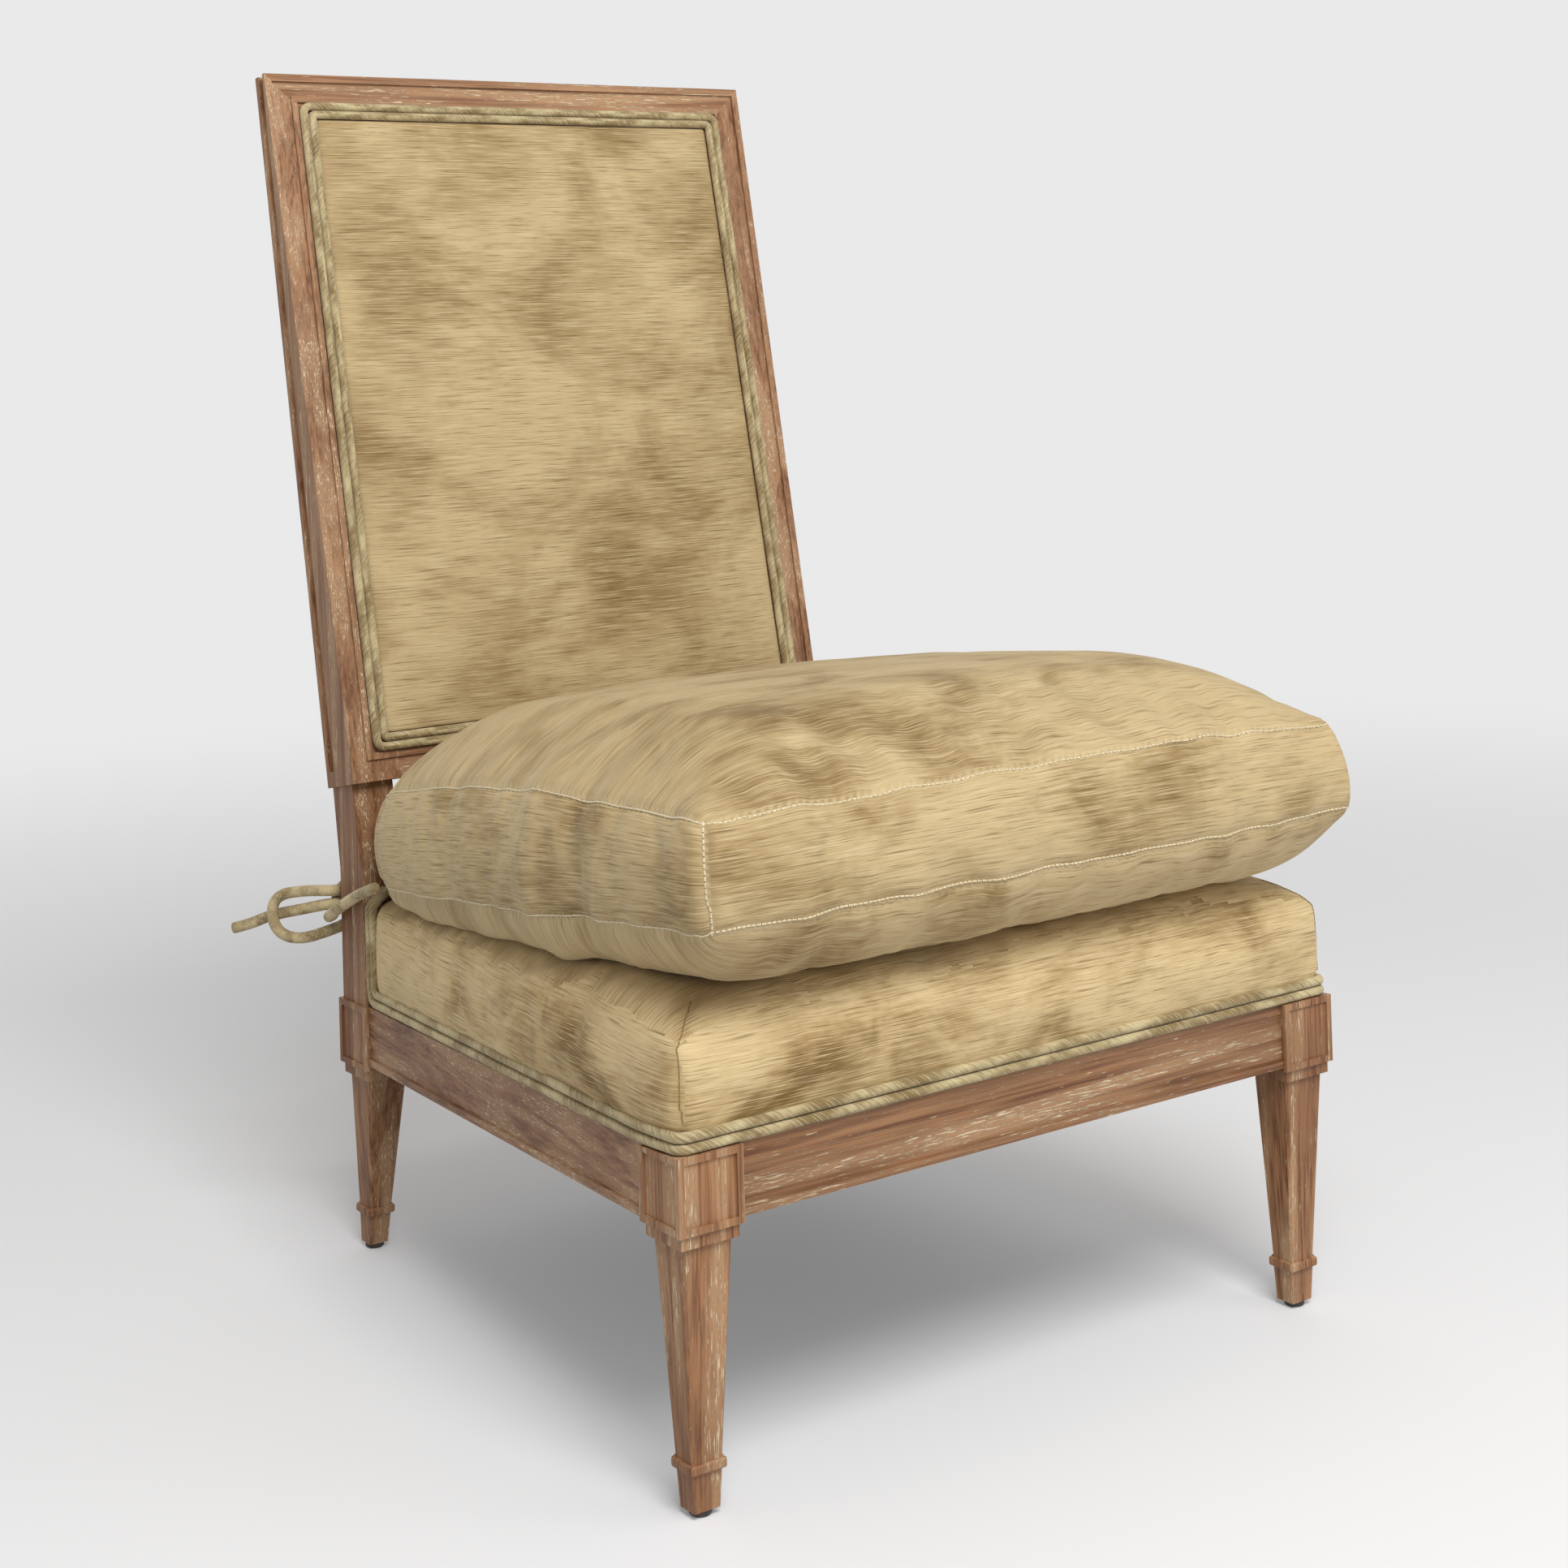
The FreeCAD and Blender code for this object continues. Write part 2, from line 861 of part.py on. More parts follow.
# Soft forms
def field(xs, ys, height, reach):
    """Solid below (reach negative) or above a smooth surface shaped by a net of heights."""
    poles = [[vec(x, y, height(x, y)) for y in ys] for x in xs]
    surface = Part.BSplineSurface()
    spans_x = len(xs) - 3
    spans_y = len(ys) - 3
    surface.buildFromPolesMultsKnots(
        poles,
        [4] + [1] * (spans_x - 1) + [4],
        [4] + [1] * (spans_y - 1) + [4],
        [float(i) for i in range(spans_x + 1)],
        [float(i) for i in range(spans_y + 1)],
        False,
        False,
        3,
        3,
    )
    return surface.toShape().extrude(vec(0, 0, reach))


def crown_share(u, v, power):
    """Share of a crown at a place, from 1 in the middle to 0 at the seam and beyond."""
    u = min(abs(u), 1.0)
    v = min(abs(v), 1.0)
    return (1.0 - u**power) * (1.0 - v**power)


def rounded_ring(corners, radius, bows):
    """Closed outline: sides bowed by the given amounts, corners rounded."""
    count = len(corners)
    centre = corners[0]
    for corner in corners[1:]:
        centre = centre + corner
    centre = centre * (1.0 / count)
    arcs = []
    for i in range(count):
        here = corners[i]
        a = (corners[i - 1] - here).normalize()
        b = (corners[(i + 1) % count] - here).normalize()
        half_turn = (math.pi - a.getAngle(b)) / 2.0
        bis = (a + b).normalize()
        cut = radius * math.tan(half_turn)
        mid = here + bis * (radius / math.cos(half_turn) - radius)
        arcs.append((here + a * cut, mid, here + b * cut))
    edges = []
    for i in range(count):
        first, mid, last = arcs[i]
        edges.append(Part.Arc(first, mid, last).toShape())
        following = arcs[(i + 1) % count][0]
        middle = (last + following) * 0.5
        out = (middle - centre).normalize()
        edges.append(Part.Arc(last, middle + out * bows[i], following).toShape())
    return Part.Wire(edges)


# Seat pad and its cover
def seat_ring(lift, inset, bow):
    """Outline of the seat at a height above the rails, inset from the frame."""
    y0 = inset
    y1 = front_block_depth
    y2 = seat_depth - inset
    wide = front_half - inset
    narrow = side_face(rear_face_y) - seat_rear_tuck - inset
    narrow = narrow - (wide - narrow) * (y2 - rear_face_y) / (rear_face_y - y1)
    right = [(wide, y0), (wide, y1), (narrow, y2)]
    left = [(-x, y) for x, y in reversed(right)]
    corners = [vec(x, y, rail_top(y) + lift) for x, y in right + left]
    bows = [flat_bow, bow, flat_bow, bow, flat_bow, flat_bow]
    return rounded_ring(corners, seat_corner_radius, bows)


def seat_height(x, y, drop):
    """Height of the seat's top: steep at its edges, level inside under the cushion."""
    u = x / side_face(y)
    v = (y - seat_depth / 2.0) / (seat_depth / 2.0)
    edge = seat_edge_rise * crown_share(u, v, seat_edge_power)
    return rail_top(y) + seat_edge_height + edge - drop


def bulge_share(t, first, middle, last):
    """Value at share t of a height, on a parabola through three given values."""
    curve = 2.0 * (first + last - 2.0 * middle)
    return first + t * (4.0 * middle - 3.0 * first - last) + curve * t * t


def seat_form(shrink, base, steps):
    """The block of the tight seat, taken in by a cloth thickness for the pad."""
    wall_top = seat_edge_height + seat_edge_rise
    rings = []
    for i in range(steps + 1):
        t = i / steps
        inset = bulge_share(t, wall_foot_inset, wall_middle_inset, wall_top_inset)
        lift = welt_band + (wall_top - welt_band) * t
        rings.append(seat_ring(lift, inset + shrink, seat_bow))
    foot = cover_setback + shrink
    low = seat_ring(base, foot, flat_bow)
    band = Part.makeLoft([low, seat_ring(welt_band, foot, flat_bow)], True, True)
    block = band.fuse(Part.makeLoft(rings, True, True))
    steps = [1.08, 1.0, 0.96, 0.9, 0.75, 0.3]
    xs = [-front_half * e for e in steps] + [front_half * e for e in reversed(steps)]
    ys = [seat_depth / 2.0 * (1.0 - e) for e in steps]
    ys = ys + [seat_depth / 2.0 * (1.0 + e) for e in reversed(steps)]
    below = field(xs, ys, lambda x, y: seat_height(x, y, shrink), -400.0)
    return block.common(below)


def post_clearance(gap):
    """Room for one rear post and block, and everything outside the post."""
    front = rear_face_y + post_front_inset - gap
    inner = -rear_half + post_inset + post_width + gap
    tall = box(-front_width, inner, front, seat_depth * 1.2, 0, back_foot_z * 2)
    block = box(
        -front_width,
        -rear_half + rear_block_width + cloth_gap,
        rear_face_y - cloth_gap,
        seat_depth * 1.2,
        0,
        rear_block_top + gap,
    )
    return tall.fuse(block)


def welt_channel(gap):
    """Room in the corner of the seat for the welts that run up a rear post."""
    x1 = -post_outer + channel_depth + gap
    y0 = post_front - welt_band - welt_gap - gap
    low = rail_top(rear_face_y)
    return box(-front_width, x1, y0, seat_depth, low, low + front_width)


def corner_room(gap):
    left = post_clearance(gap).fuse(welt_channel(gap))
    return [left, mirrored(left)]


def seat_cover_and_pad():
    thick = cover_thickness
    outer = seat_form(0.0, 0.0, wall_steps).cut(corner_room(cloth_gap))
    cavity = seat_form(thick, -5.0, wall_steps).cut(corner_room(thick + cloth_gap))
    cover = outer.cut(cavity)
    lift = 2 * web_thickness + hessian_thickness
    pad = seat_form(thick + cloth_gap, lift, wall_steps).cut(corner_room(thick + 2 * cloth_gap))
    return cover, pad


# Cords and welts
def cord_path(points, radii):
    """Straight runs through the points, joined by tangent arcs of the given radii."""
    edges = []
    start = points[0]
    for i in range(1, len(points) - 1):
        a = (points[i - 1] - points[i]).normalize()
        b = (points[i + 1] - points[i]).normalize()
        half_turn = (math.pi - a.getAngle(b)) / 2.0
        cut = radii[i - 1] * math.tan(half_turn)
        first = points[i] + a * cut
        last = points[i] + b * cut
        bis = (a + b).normalize()
        centre = points[i] + bis * (radii[i - 1] / math.cos(half_turn))
        mid = centre - bis * radii[i - 1]
        edges.append(Part.LineSegment(start, first).toShape())
        edges.append(Part.Arc(first, mid, last).toShape())
        start = last
    edges.append(Part.LineSegment(start, points[-1]).toShape())
    return Part.Wire(edges)


def tube(path, radius):
    start = path.Edges[0].Vertexes[0].Point
    direction = path.Edges[0].tangentAt(path.Edges[0].FirstParameter)
    ring = Part.Wire(Part.Circle(start, direction, radius).toShape())
    return path.makePipeShell([ring], True, False)


def seat_welt():
    """Two cords round the foot of the seat cover, turning up beside each rear post."""
    inset = welt_inset + welt_radius
    cords = []
    for k in range(2):
        lift = welt_radius + welt_gap + k * welt_pitch
        up_y = post_front - welt_radius - welt_gap - k * welt_pitch
        up_x = -post_outer + welt_radius + welt_gap
        in_x = up_x + welt_turn_in
        top = seat_height(up_x, up_y, 0) + welt_radius
        rise = seat_height(in_x, up_y, 0) + welt_radius + 2 * welt_gap

        def corner(x, y):
            return vec(x, y, rail_top(y) + lift)

        half = [
            vec(in_x, up_y, rise),
            vec(up_x, up_y, top),
            corner(up_x, up_y),
            corner(inset - front_half, front_block_depth),
            corner(inset - front_half, inset),
        ]
        other = [vec(-p.x, p.y, p.z) for p in reversed(half)]
        turn = welt_radius * 1.3 + (1 - k) * welt_pitch
        radii = [welt_radius * 1.6, turn, 60.0, welt_corner]
        cords.append(tube(cord_path(half + other, radii + radii[::-1]), welt_radius))
    end = rear_half - rear_block_width - welt_gap
    for k in range(2):
        y = seat_depth - inset
        z = rail_top(y) + welt_radius + welt_gap + k * welt_pitch
        cords.append(Part.makeCylinder(welt_radius, 2 * end, vec(-end, y, z), vec(1, 0, 0)))
    return Part.makeCompound(cords)


def back_welt():
    """Closed double cord round the inside back, against the bead of the frame."""
    cords = []
    y = field_recess - welt_radius - welt_gap
    for k in range(2):
        inset = bead_width + welt_gap + welt_radius + k * welt_pitch
        a = bead_outer_half - inset
        low = bead_bottom + inset
        high = bead_top - inset
        r = welt_corner - k * welt_pitch * 0.6
        points = [
            vec(0, y, low),
            vec(a, y, low),
            vec(a, y, high),
            vec(-a, y, high),
            vec(-a, y, low),
            vec(0, y, low),
        ]
        cords.append(tube(cord_path(points, [r] * 4), welt_radius))
    return Part.makeCompound(cords)


def cord(points):
    """Tube along a chosen route, its arcs fitted to the runs, and its tightest radius."""
    radii = []
    for i in range(1, len(points) - 1):
        a = points[i - 1] - points[i]
        b = points[i + 1] - points[i]
        half_turn = (math.pi - a.getAngle(b)) / 2.0
        radii.append(tie_route_fit * min(a.Length, b.Length) / math.tan(half_turn))
    path = cord_path(points, radii)
    solid = tube(path, tie_radius)
    expected = math.pi * tie_radius**2 * path.Length
    return solid, path.Length, min(radii), solid.Volume / expected


# Routes of the left ties: one round the post, one for the loop and its free end
tie_band_route = [
    (-223.0, 478.0, 287.0),
    (-221.0, 500.0, 280.5),
    (-221.2, 528.0, 268.5),
    (-225.2, 558.4, 251.2),
    (-210.2, 570.0, 251.2),
    (-209.0, 571.0, 270.0),
    (-192.0, 557.2, 281.5),
    (-176.6, 557.2, 282.0),
    (-176.6, 534.0, 284.0),
    (-176.6, 509.0, 287.0),
    (-186.0, 499.5, 289.0),
]
tie_bow_route = [
    (-202.0, 556.5, 271.0),
    (-216.0, 559.0, 271.0),
    (-233.0, 579.5, 270.5),
    (-247.0, 598.0, 266.0),
    (-250.0, 602.0, 251.0),
    (-246.0, 597.0, 236.5),
    (-235.0, 583.0, 232.5),
    (-220.0, 563.0, 240.5),
    (-207.0, 556.8, 245.5),
    (-200.0, 557.0, 256.0),
    (-214.0, 559.5, 262.0),
    (-231.0, 581.5, 256.0),
    (-248.0, 610.0, 248.5),
    (-258.0, 622.0, 241.5),
    (-267.0, 633.0, 238.0),
]


# Back upholstery, drawn upright like the frame
pad_inset = bead_width + welt_radius * 2 + welt_pitch + 2 * welt_gap
pad_half = bead_outer_half - pad_inset
pad_low = bead_bottom + pad_inset
pad_high = bead_top - pad_inset


def pillow(back_off, rear):
    """Crowned slab behind a smooth front surface, from there back to depth rear."""
    mid = (pad_low + pad_high) / 2.0
    half_high = (pad_high - pad_low) / 2.0
    edges = [1.12, 1.0, 0.93, 0.8, 0.5, 0.15]
    xs = [-pad_half * e for e in edges] + [pad_half * e for e in reversed(edges)]
    zs = [mid - half_high * e for e in edges]
    zs = zs + [mid + half_high * e for e in reversed(edges)]

    def height(x, z):
        share = crown_share(x / pad_half, (z - mid) / half_high, 5.0)
        return back_pad_edge - back_off + back_pad_crown * share

    solid = field(xs, zs, height, -60.0)
    solid.rotate(vec(0, 0, 0), vec(1, 0, 0), 90)
    return solid.common(
        box(-pad_half - 20, pad_half + 20, -60, rear, pad_low - 20, pad_high + 20)
    )


def pad_block(inset, y0, y1):
    return box(
        -pad_half + inset, pad_half - inset, y0, y1, pad_low + inset, pad_high - inset
    )


def back_upholstery():
    rear = field_recess - cloth_gap
    thick = cover_thickness
    skin = pillow(0.0, rear).common(pad_block(0.0, -60, rear))
    hollow = pillow(thick, rear + 5).common(pad_block(thick, -60, rear + 5))
    cover = skin.cut(hollow)
    gap = thick + cloth_gap
    opening = box(
        -stile_inner + cloth_gap,
        stile_inner - cloth_gap,
        -60,
        back_pad_rear,
        bottom_rail_width + cloth_gap,
        back_length - top_rail_width - cloth_gap,
    )
    reach = opening.fuse(pad_block(gap, -60, rear))
    filling = pillow(gap, back_pad_rear).common(reach)
    return cover, filling


def back_webbing():
    y = back_pad_rear + cloth_gap + hessian_thickness
    strips = []
    low = bottom_rail_width
    high = back_length - top_rail_width
    pitch = 2 * stile_inner / back_web_count
    for i in range(back_web_count):
        x = (i - (back_web_count - 1) / 2.0) * pitch
        half = web_width / 2.0
        strips.append(box(x - half, x + half, y, y + web_thickness, low, high))
    cross = (high - low) / back_cross_count
    for i in range(back_cross_count):
        z = low + (i + 0.5) * cross
        half = web_width / 2.0
        strips.append(
            box(
                -stile_inner,
                stile_inner,
                y + web_thickness,
                y + 2 * web_thickness,
                z - half,
                z + half,
            )
        )
    return Part.makeCompound(strips)


def back_hessian():
    y = back_pad_rear + cloth_gap
    low = bottom_rail_width
    high = back_length - top_rail_width
    return box(-stile_inner, stile_inner, y, y + hessian_thickness, low, high)


def outside_back():
    """Velvet outside back on a thin lining, in the rebate of the rear face."""

    def ring(z, inset):
        x = frame_half(z) - rear_border - inset
        d = frame_depth(z) - rear_rebate
        return [
            vec(-x, d, z),
            vec(x, d, z),
            vec(x, d + outside_cloth, z),
            vec(-x, d + outside_cloth, z),
        ]

    gap = cloth_gap
    return hexa(
        ring(rear_border + gap, gap), ring(back_length - rear_border - gap, gap)
    )


def outside_welt():
    """Single cord laid on the outside back, just inside its border."""
    r = welt_radius * 0.8
    inset = rear_border + r + 2 * welt_gap
    slope = (back_head_depth - back_foot_depth) / back_length

    def point(side, z):
        y = frame_depth(z) - rear_rebate + outside_cloth + r * math.sqrt(1 + slope**2)
        return vec(side * (frame_half(z) - inset), y + 0.1, z)

    low = inset
    high = back_length - inset
    start = point(1, low)
    points = [
        vec(0, start.y, low),
        point(1, low),
        point(1, high),
        point(-1, high),
        point(-1, low),
        vec(0, start.y, low),
    ]
    return tube(cord_path(points, [welt_corner] * 4), r)


# Loose cushion
def cushion_outline(z, inset):
    """Plan of the cushion in its own level frame, with y from its front seam."""
    corners = [
        vec(-cushion_front_half + inset, inset, z),
        vec(cushion_front_half - inset, inset, z),
        vec(cushion_rear_half - inset, cushion_length - inset, z),
        vec(-cushion_rear_half + inset, cushion_length - inset, z),
    ]
    return rounded_ring(corners, cushion_corner, [front_bow, side_bow, rear_bow, side_bow])


def cushion_place(shape):
    """Lay the cushion at its tilt on the seat."""
    shape = shape.copy()
    shape.rotate(vec(0, 0, 0), vec(1, 0, 0), -cushion_tilt)
    shape.translate(vec(0, cushion_front, cushion_front_mid))
    return shape


def cushion_field(sign, inset):
    """Top (sign 1) or bottom (sign -1) surface as a solid on the inner side of it."""
    steps = [1.14, 1.0, 0.94, 0.84, 0.62, 0.25]
    half_length = cushion_length / 2.0
    us = [-e for e in steps] + [e for e in reversed(steps)]
    ys = [half_length * (1.0 + v) for v in us]
    xs = [cushion_front_half * u for u in us]
    bulk = cushion_crown if sign > 0 else cushion_belly
    power = crown_power if sign > 0 else belly_power

    def height(x, y):
        v = y / half_length - 1.0
        half = cushion_front_half + (cushion_rear_half - cushion_front_half) * (v + 1.0) / 2.0
        u = x / (half + boxing_bulge / 2.0)
        arch = 1.0 - min(v * v, 1.0)
        across = 1.0 - min(u * u, 1.0)
        if sign > 0:
            bow = seam_bow * arch + seam_lift * (1.0 + v) / 2.0 + front_seam_bow * across
        else:
            bow = belly_bow * arch
        bias = 1.0 - cushion_bias * v
        share = crown_share(u, v, power)
        return bow + sign * (boxing_height / 2.0 - inset + bulk * bias * share)

    return field(xs, ys, height, -300.0 * sign)


def cushion_form(inset, steps):
    """Boxed cushion: bulging sides between a crowned top and a soft belly."""
    reach = wall_reach + cushion_crown
    rings = [cushion_outline(-reach, inset - boxing_low_bulge)]
    for i in range(steps + 1):
        t = i / steps
        bulge = bulge_share(t, boxing_low_bulge, boxing_bulge, 0.0)
        rings.append(cushion_outline(wall_reach * (2.0 * t - 1.0), inset - bulge))
    rings.append(cushion_outline(reach, inset))
    body = Part.makeLoft(rings, True, True)
    body = body.common(cushion_field(1, inset)).common(cushion_field(-1, inset))
    return cushion_place(body)


def cushion():
    seat = seat_form(-seat_contact_gap, 0.0, 1)
    case = cushion_form(0.0, boxing_steps).cut(seat)
    thin = case_thickness
    hollow = cushion_form(thin, inner_steps).cut(seat_form(-seat_contact_gap - thin, 0.0, 1))
    case = case.cut(hollow)
    gap = thin + cloth_gap
    filling = cushion_form(gap, inner_steps).cut(seat_form(-seat_contact_gap - gap, 0.0, 1))
    return case, filling


os.makedirs("parts", exist_ok=True)

leg_shape, glide_shape = front_leg()
save("front_leg_left", leg_shape)
save("front_leg_right", mirrored(leg_shape))
save("front_glide_left", glide_shape)
save("front_glide_right", mirrored(glide_shape))
rear_shape, rear_glide = rear_leg()
save("rear_leg_left", rear_shape)
save("rear_leg_right", mirrored(rear_shape))
save("rear_glide_left", rear_glide)
save("rear_glide_right", mirrored(rear_glide))
save(
    "front_rail",
    cross_rail(front_half - front_block_width, 0.0, -1, front_tenon),
)
save(
    "rear_rail",
    cross_rail(rear_half - rear_block_width, seat_depth, 1, rear_tenon),
)
save("side_rail_left", side_rail())
save("side_rail_right", mirrored(side_rail()))
for label, front in (("front", True), ("rear", False)):
    save(label + "_brace_left", brace(front))
    save(label + "_brace_right", mirrored(brace(front)))
save("back_top_rail", back_place(back_top_rail()))
save("back_bottom_rail", back_place(back_bottom_rail()))
save("seat_webbing", seat_webbing())
save("seat_hessian", seat_hessian())
cover, pad = seat_cover_and_pad()
save("seat_cover", cover)
save("seat_pad", pad)
save("seat_welt", seat_welt())
cover, pad = back_upholstery()
save("back_cover", back_place(cover))
save("back_pad", back_place(pad))
save("back_hessian", back_place(back_hessian()))
save("back_webbing", back_place(back_webbing()))
save("back_welt", back_place(back_welt()))
save("outside_back", back_place(outside_back()))
save("outside_back_welt", back_place(outside_welt()))
case, filling = cushion()
save("cushion_case", case)
save("cushion_filling", filling)
screws = brace_screws(True) + brace_screws(False)
screws = screws + [mirrored(screw) for screw in screws]
save("brace_screws", Part.makeCompound(screws))
save("dust_cover", dust_cover())
save("lining_tacks", lining_tacks())
for label, route in (("band", tie_band_route), ("bow", tie_bow_route)):
    tie, length, tightest, share = cord([vec(*point) for point in route])
    print("tie", label, "length", round(length, 1), "tightest", round(tightest, 1))
    print("tie", label, "volume over section x length", round(share, 4))
    save("tie_" + label + "_left", tie)
    save("tie_" + label + "_right", mirrored(tie))
for name, shape in nodes.items():
    print(name, len(shape.Solids), round(shape.Volume / 1000.0, 1), shape.isValid())
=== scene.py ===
import math

import bmesh
import bpy
import numpy as np
from mathutils import Matrix, Vector, noise


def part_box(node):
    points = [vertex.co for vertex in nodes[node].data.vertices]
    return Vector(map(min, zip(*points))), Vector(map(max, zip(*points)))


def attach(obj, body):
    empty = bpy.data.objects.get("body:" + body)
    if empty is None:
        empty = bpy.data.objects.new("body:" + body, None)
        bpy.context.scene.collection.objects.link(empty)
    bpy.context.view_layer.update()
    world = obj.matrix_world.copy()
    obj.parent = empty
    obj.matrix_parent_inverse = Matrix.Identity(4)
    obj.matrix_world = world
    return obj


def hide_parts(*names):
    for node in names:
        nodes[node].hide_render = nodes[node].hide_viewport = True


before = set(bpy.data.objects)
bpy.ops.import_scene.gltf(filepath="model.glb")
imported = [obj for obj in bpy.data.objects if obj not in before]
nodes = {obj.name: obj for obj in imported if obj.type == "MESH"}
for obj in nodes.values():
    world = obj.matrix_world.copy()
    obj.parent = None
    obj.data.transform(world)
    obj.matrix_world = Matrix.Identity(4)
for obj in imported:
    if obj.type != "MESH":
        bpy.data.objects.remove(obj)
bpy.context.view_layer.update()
scene = bpy.context.scene
scene.view_settings.view_transform = "Standard"


# Camera
# A long lens a little above the seat, turned towards the front left corner, with the
# frame shifted down so that uprights stay nearly upright.
photo_side = 1932.0
focal_pixels = 3179.62
sensor_width = 36.0
axis_pixel = (965.32, 355.98)
view_turn = math.radians(-35.674)
view_pitch = math.radians(-0.692)
view_roll = math.radians(-1.624)
camera_place = Vector((-1.0797, -1.5576, 0.6968))

forward = Vector(
    (
        -math.sin(view_turn) * math.cos(view_pitch),
        math.cos(view_turn) * math.cos(view_pitch),
        -math.sin(view_pitch),
    )
)
level_right = Vector((math.cos(view_turn), math.sin(view_turn), 0.0))
level_up = level_right.cross(forward)
right = level_right * math.cos(view_roll) + level_up * math.sin(view_roll)
up = level_up * math.cos(view_roll) - level_right * math.sin(view_roll)
camera_data = bpy.data.cameras.new("camera")
camera_data.sensor_width = sensor_width
camera_data.lens = sensor_width * focal_pixels / photo_side
camera_data.shift_x = (photo_side / 2.0 - axis_pixel[0]) / photo_side
camera_data.shift_y = (axis_pixel[1] - photo_side / 2.0) / photo_side
camera = bpy.data.objects.new("camera", camera_data)
scene.collection.objects.link(camera)
turned = Matrix((right, up, -forward)).transposed().to_4x4()
camera.matrix_world = Matrix.Translation(camera_place) @ turned
scene.camera = camera


# Studio
# A pale floor that fades into an even pale surround, a large soft lamp high in front and a
# little to the left, and a weaker one on the right.
def new_material(name):
    material = bpy.data.materials.new(name)
    material.use_nodes = True
    tree = material.node_tree
    tree.nodes.clear()
    output = tree.nodes.new("ShaderNodeOutputMaterial")
    shader = tree.nodes.new("ShaderNodeBsdfPrincipled")
    tree.links.new(shader.outputs["BSDF"], output.inputs["Surface"])
    return material, tree, shader


def feed(tree, node, inputs):
    """Set a node's inputs; an input that is given a socket is linked to it."""
    for key, value in inputs.items():
        if isinstance(value, bpy.types.NodeSocket):
            tree.links.new(value, node.inputs[key])
        else:
            node.inputs[key].default_value = value


def add(tree, kind, inputs=None, **settings):
    """A node with its settings and its inputs."""
    made = tree.nodes.new(kind)
    for key, value in settings.items():
        setattr(made, key, value)
    feed(tree, made, inputs or {})
    return made


def band(tree, value, low, high, out_low=0.0, out_high=1.0):
    """Smooth step of a value between two limits."""
    made = add(
        tree,
        "ShaderNodeMapRange",
        {
            "Value": value,
            "From Min": low,
            "From Max": high,
            "To Min": out_low,
            "To Max": out_high,
        },
        interpolation_type="SMOOTHSTEP",
    )
    return made.outputs["Result"]


def sums(tree, operation, first, second):
    made = add(tree, "ShaderNodeMath", {0: first, 1: second}, operation=operation)
    return made.outputs["Value"]


surround_colour = (0.82, 0.82, 0.825)
floor_reach = 14.0
floor_fade_from = 0.7
floor_fade_to = 3.0
floor_lift = 0.17

world = bpy.data.worlds.new("surround")
world.use_nodes = True
scene.world = world
sky = world.node_tree
sky.nodes.clear()
sky_output = sky.nodes.new("ShaderNodeOutputWorld")
path = sky.nodes.new("ShaderNodeLightPath")
seen = add(sky, "ShaderNodeBackground", {"Color": (*surround_colour, 1.0), "Strength": 1.0})
light_strength = 0.42
lit = add(sky, "ShaderNodeBackground", {"Color": (1.0, 0.99, 0.98, 1.0), "Strength": light_strength})
seen_or_glossy = sums(sky, "MAXIMUM", path.outputs["Is Camera Ray"], path.outputs["Is Glossy Ray"])
mixed = add(
    sky,
    "ShaderNodeMixShader",
    {0: seen_or_glossy, 1: lit.outputs["Background"], 2: seen.outputs["Background"]},
)
sky.links.new(mixed.outputs["Shader"], sky_output.inputs["Surface"])

floor_mesh = bpy.data.meshes.new("floor")
floor_mesh.from_pydata(
    [
        (-floor_reach, -floor_reach, 0.0),
        (floor_reach, -floor_reach, 0.0),
        (floor_reach, floor_reach, 0.0),
        (-floor_reach, floor_reach, 0.0),
    ],
    [],
    [(0, 1, 2, 3)],
)
floor = bpy.data.objects.new("floor", floor_mesh)
scene.collection.objects.link(floor)
floor_finish, tree, shader = new_material("pale_floor")
matt_paint = {
    "Base Color": (0.70, 0.70, 0.705, 1.0),
    "Roughness": 0.7,
    "Specular IOR Level": 0.15,
}
feed(tree, shader, matt_paint)
place = add(tree, "ShaderNodeTexCoord").outputs["Object"]
away = add(tree, "ShaderNodeVectorMath", {0: place}, operation="LENGTH").outputs["Value"]
glow = add(tree, "ShaderNodeEmission", {"Color": (*surround_colour, 1.0), "Strength": 1.0})
path = tree.nodes.new("ShaderNodeLightPath")
lift = sums(tree, "MULTIPLY", path.outputs["Is Camera Ray"], floor_lift)
veil = add(tree, "ShaderNodeEmission", {"Color": (*surround_colour, 1.0), "Strength": lift})
lifted = add(tree, "ShaderNodeAddShader", {0: shader.outputs["BSDF"], 1: veil.outputs["Emission"]})
fade = add(
    tree,
    "ShaderNodeMixShader",
    {
        0: band(tree, away, floor_fade_from, floor_fade_to),
        1: lifted.outputs["Shader"],
        2: glow.outputs["Emission"],
    },
)
output = next(n for n in tree.nodes if n.type == "OUTPUT_MATERIAL")
tree.links.new(fade.outputs["Shader"], output.inputs["Surface"])
floor_mesh.materials.append(floor_finish)


def soft_lamp(name, place, size, power, target=(0.0, 0.0, 0.4)):
    data = bpy.data.lights.new(name, "AREA")
    data.shape = "RECTANGLE"
    data.size = size[0]
    data.size_y = size[1]
    data.energy = power
    lamp = bpy.data.objects.new(name, data)
    lamp.location = place
    lamp.rotation_mode = "QUATERNION"
    lamp.rotation_quaternion = (Vector(target) - Vector(place)).to_track_quat("-Z", "Y")
    scene.collection.objects.link(lamp)


soft_lamp("key", (-0.7, -2.0, 2.7), (1.4, 1.4), 80.0)
soft_lamp("fill", (1.6, -2.4, 1.6), (1.8, 1.8), 14.0)


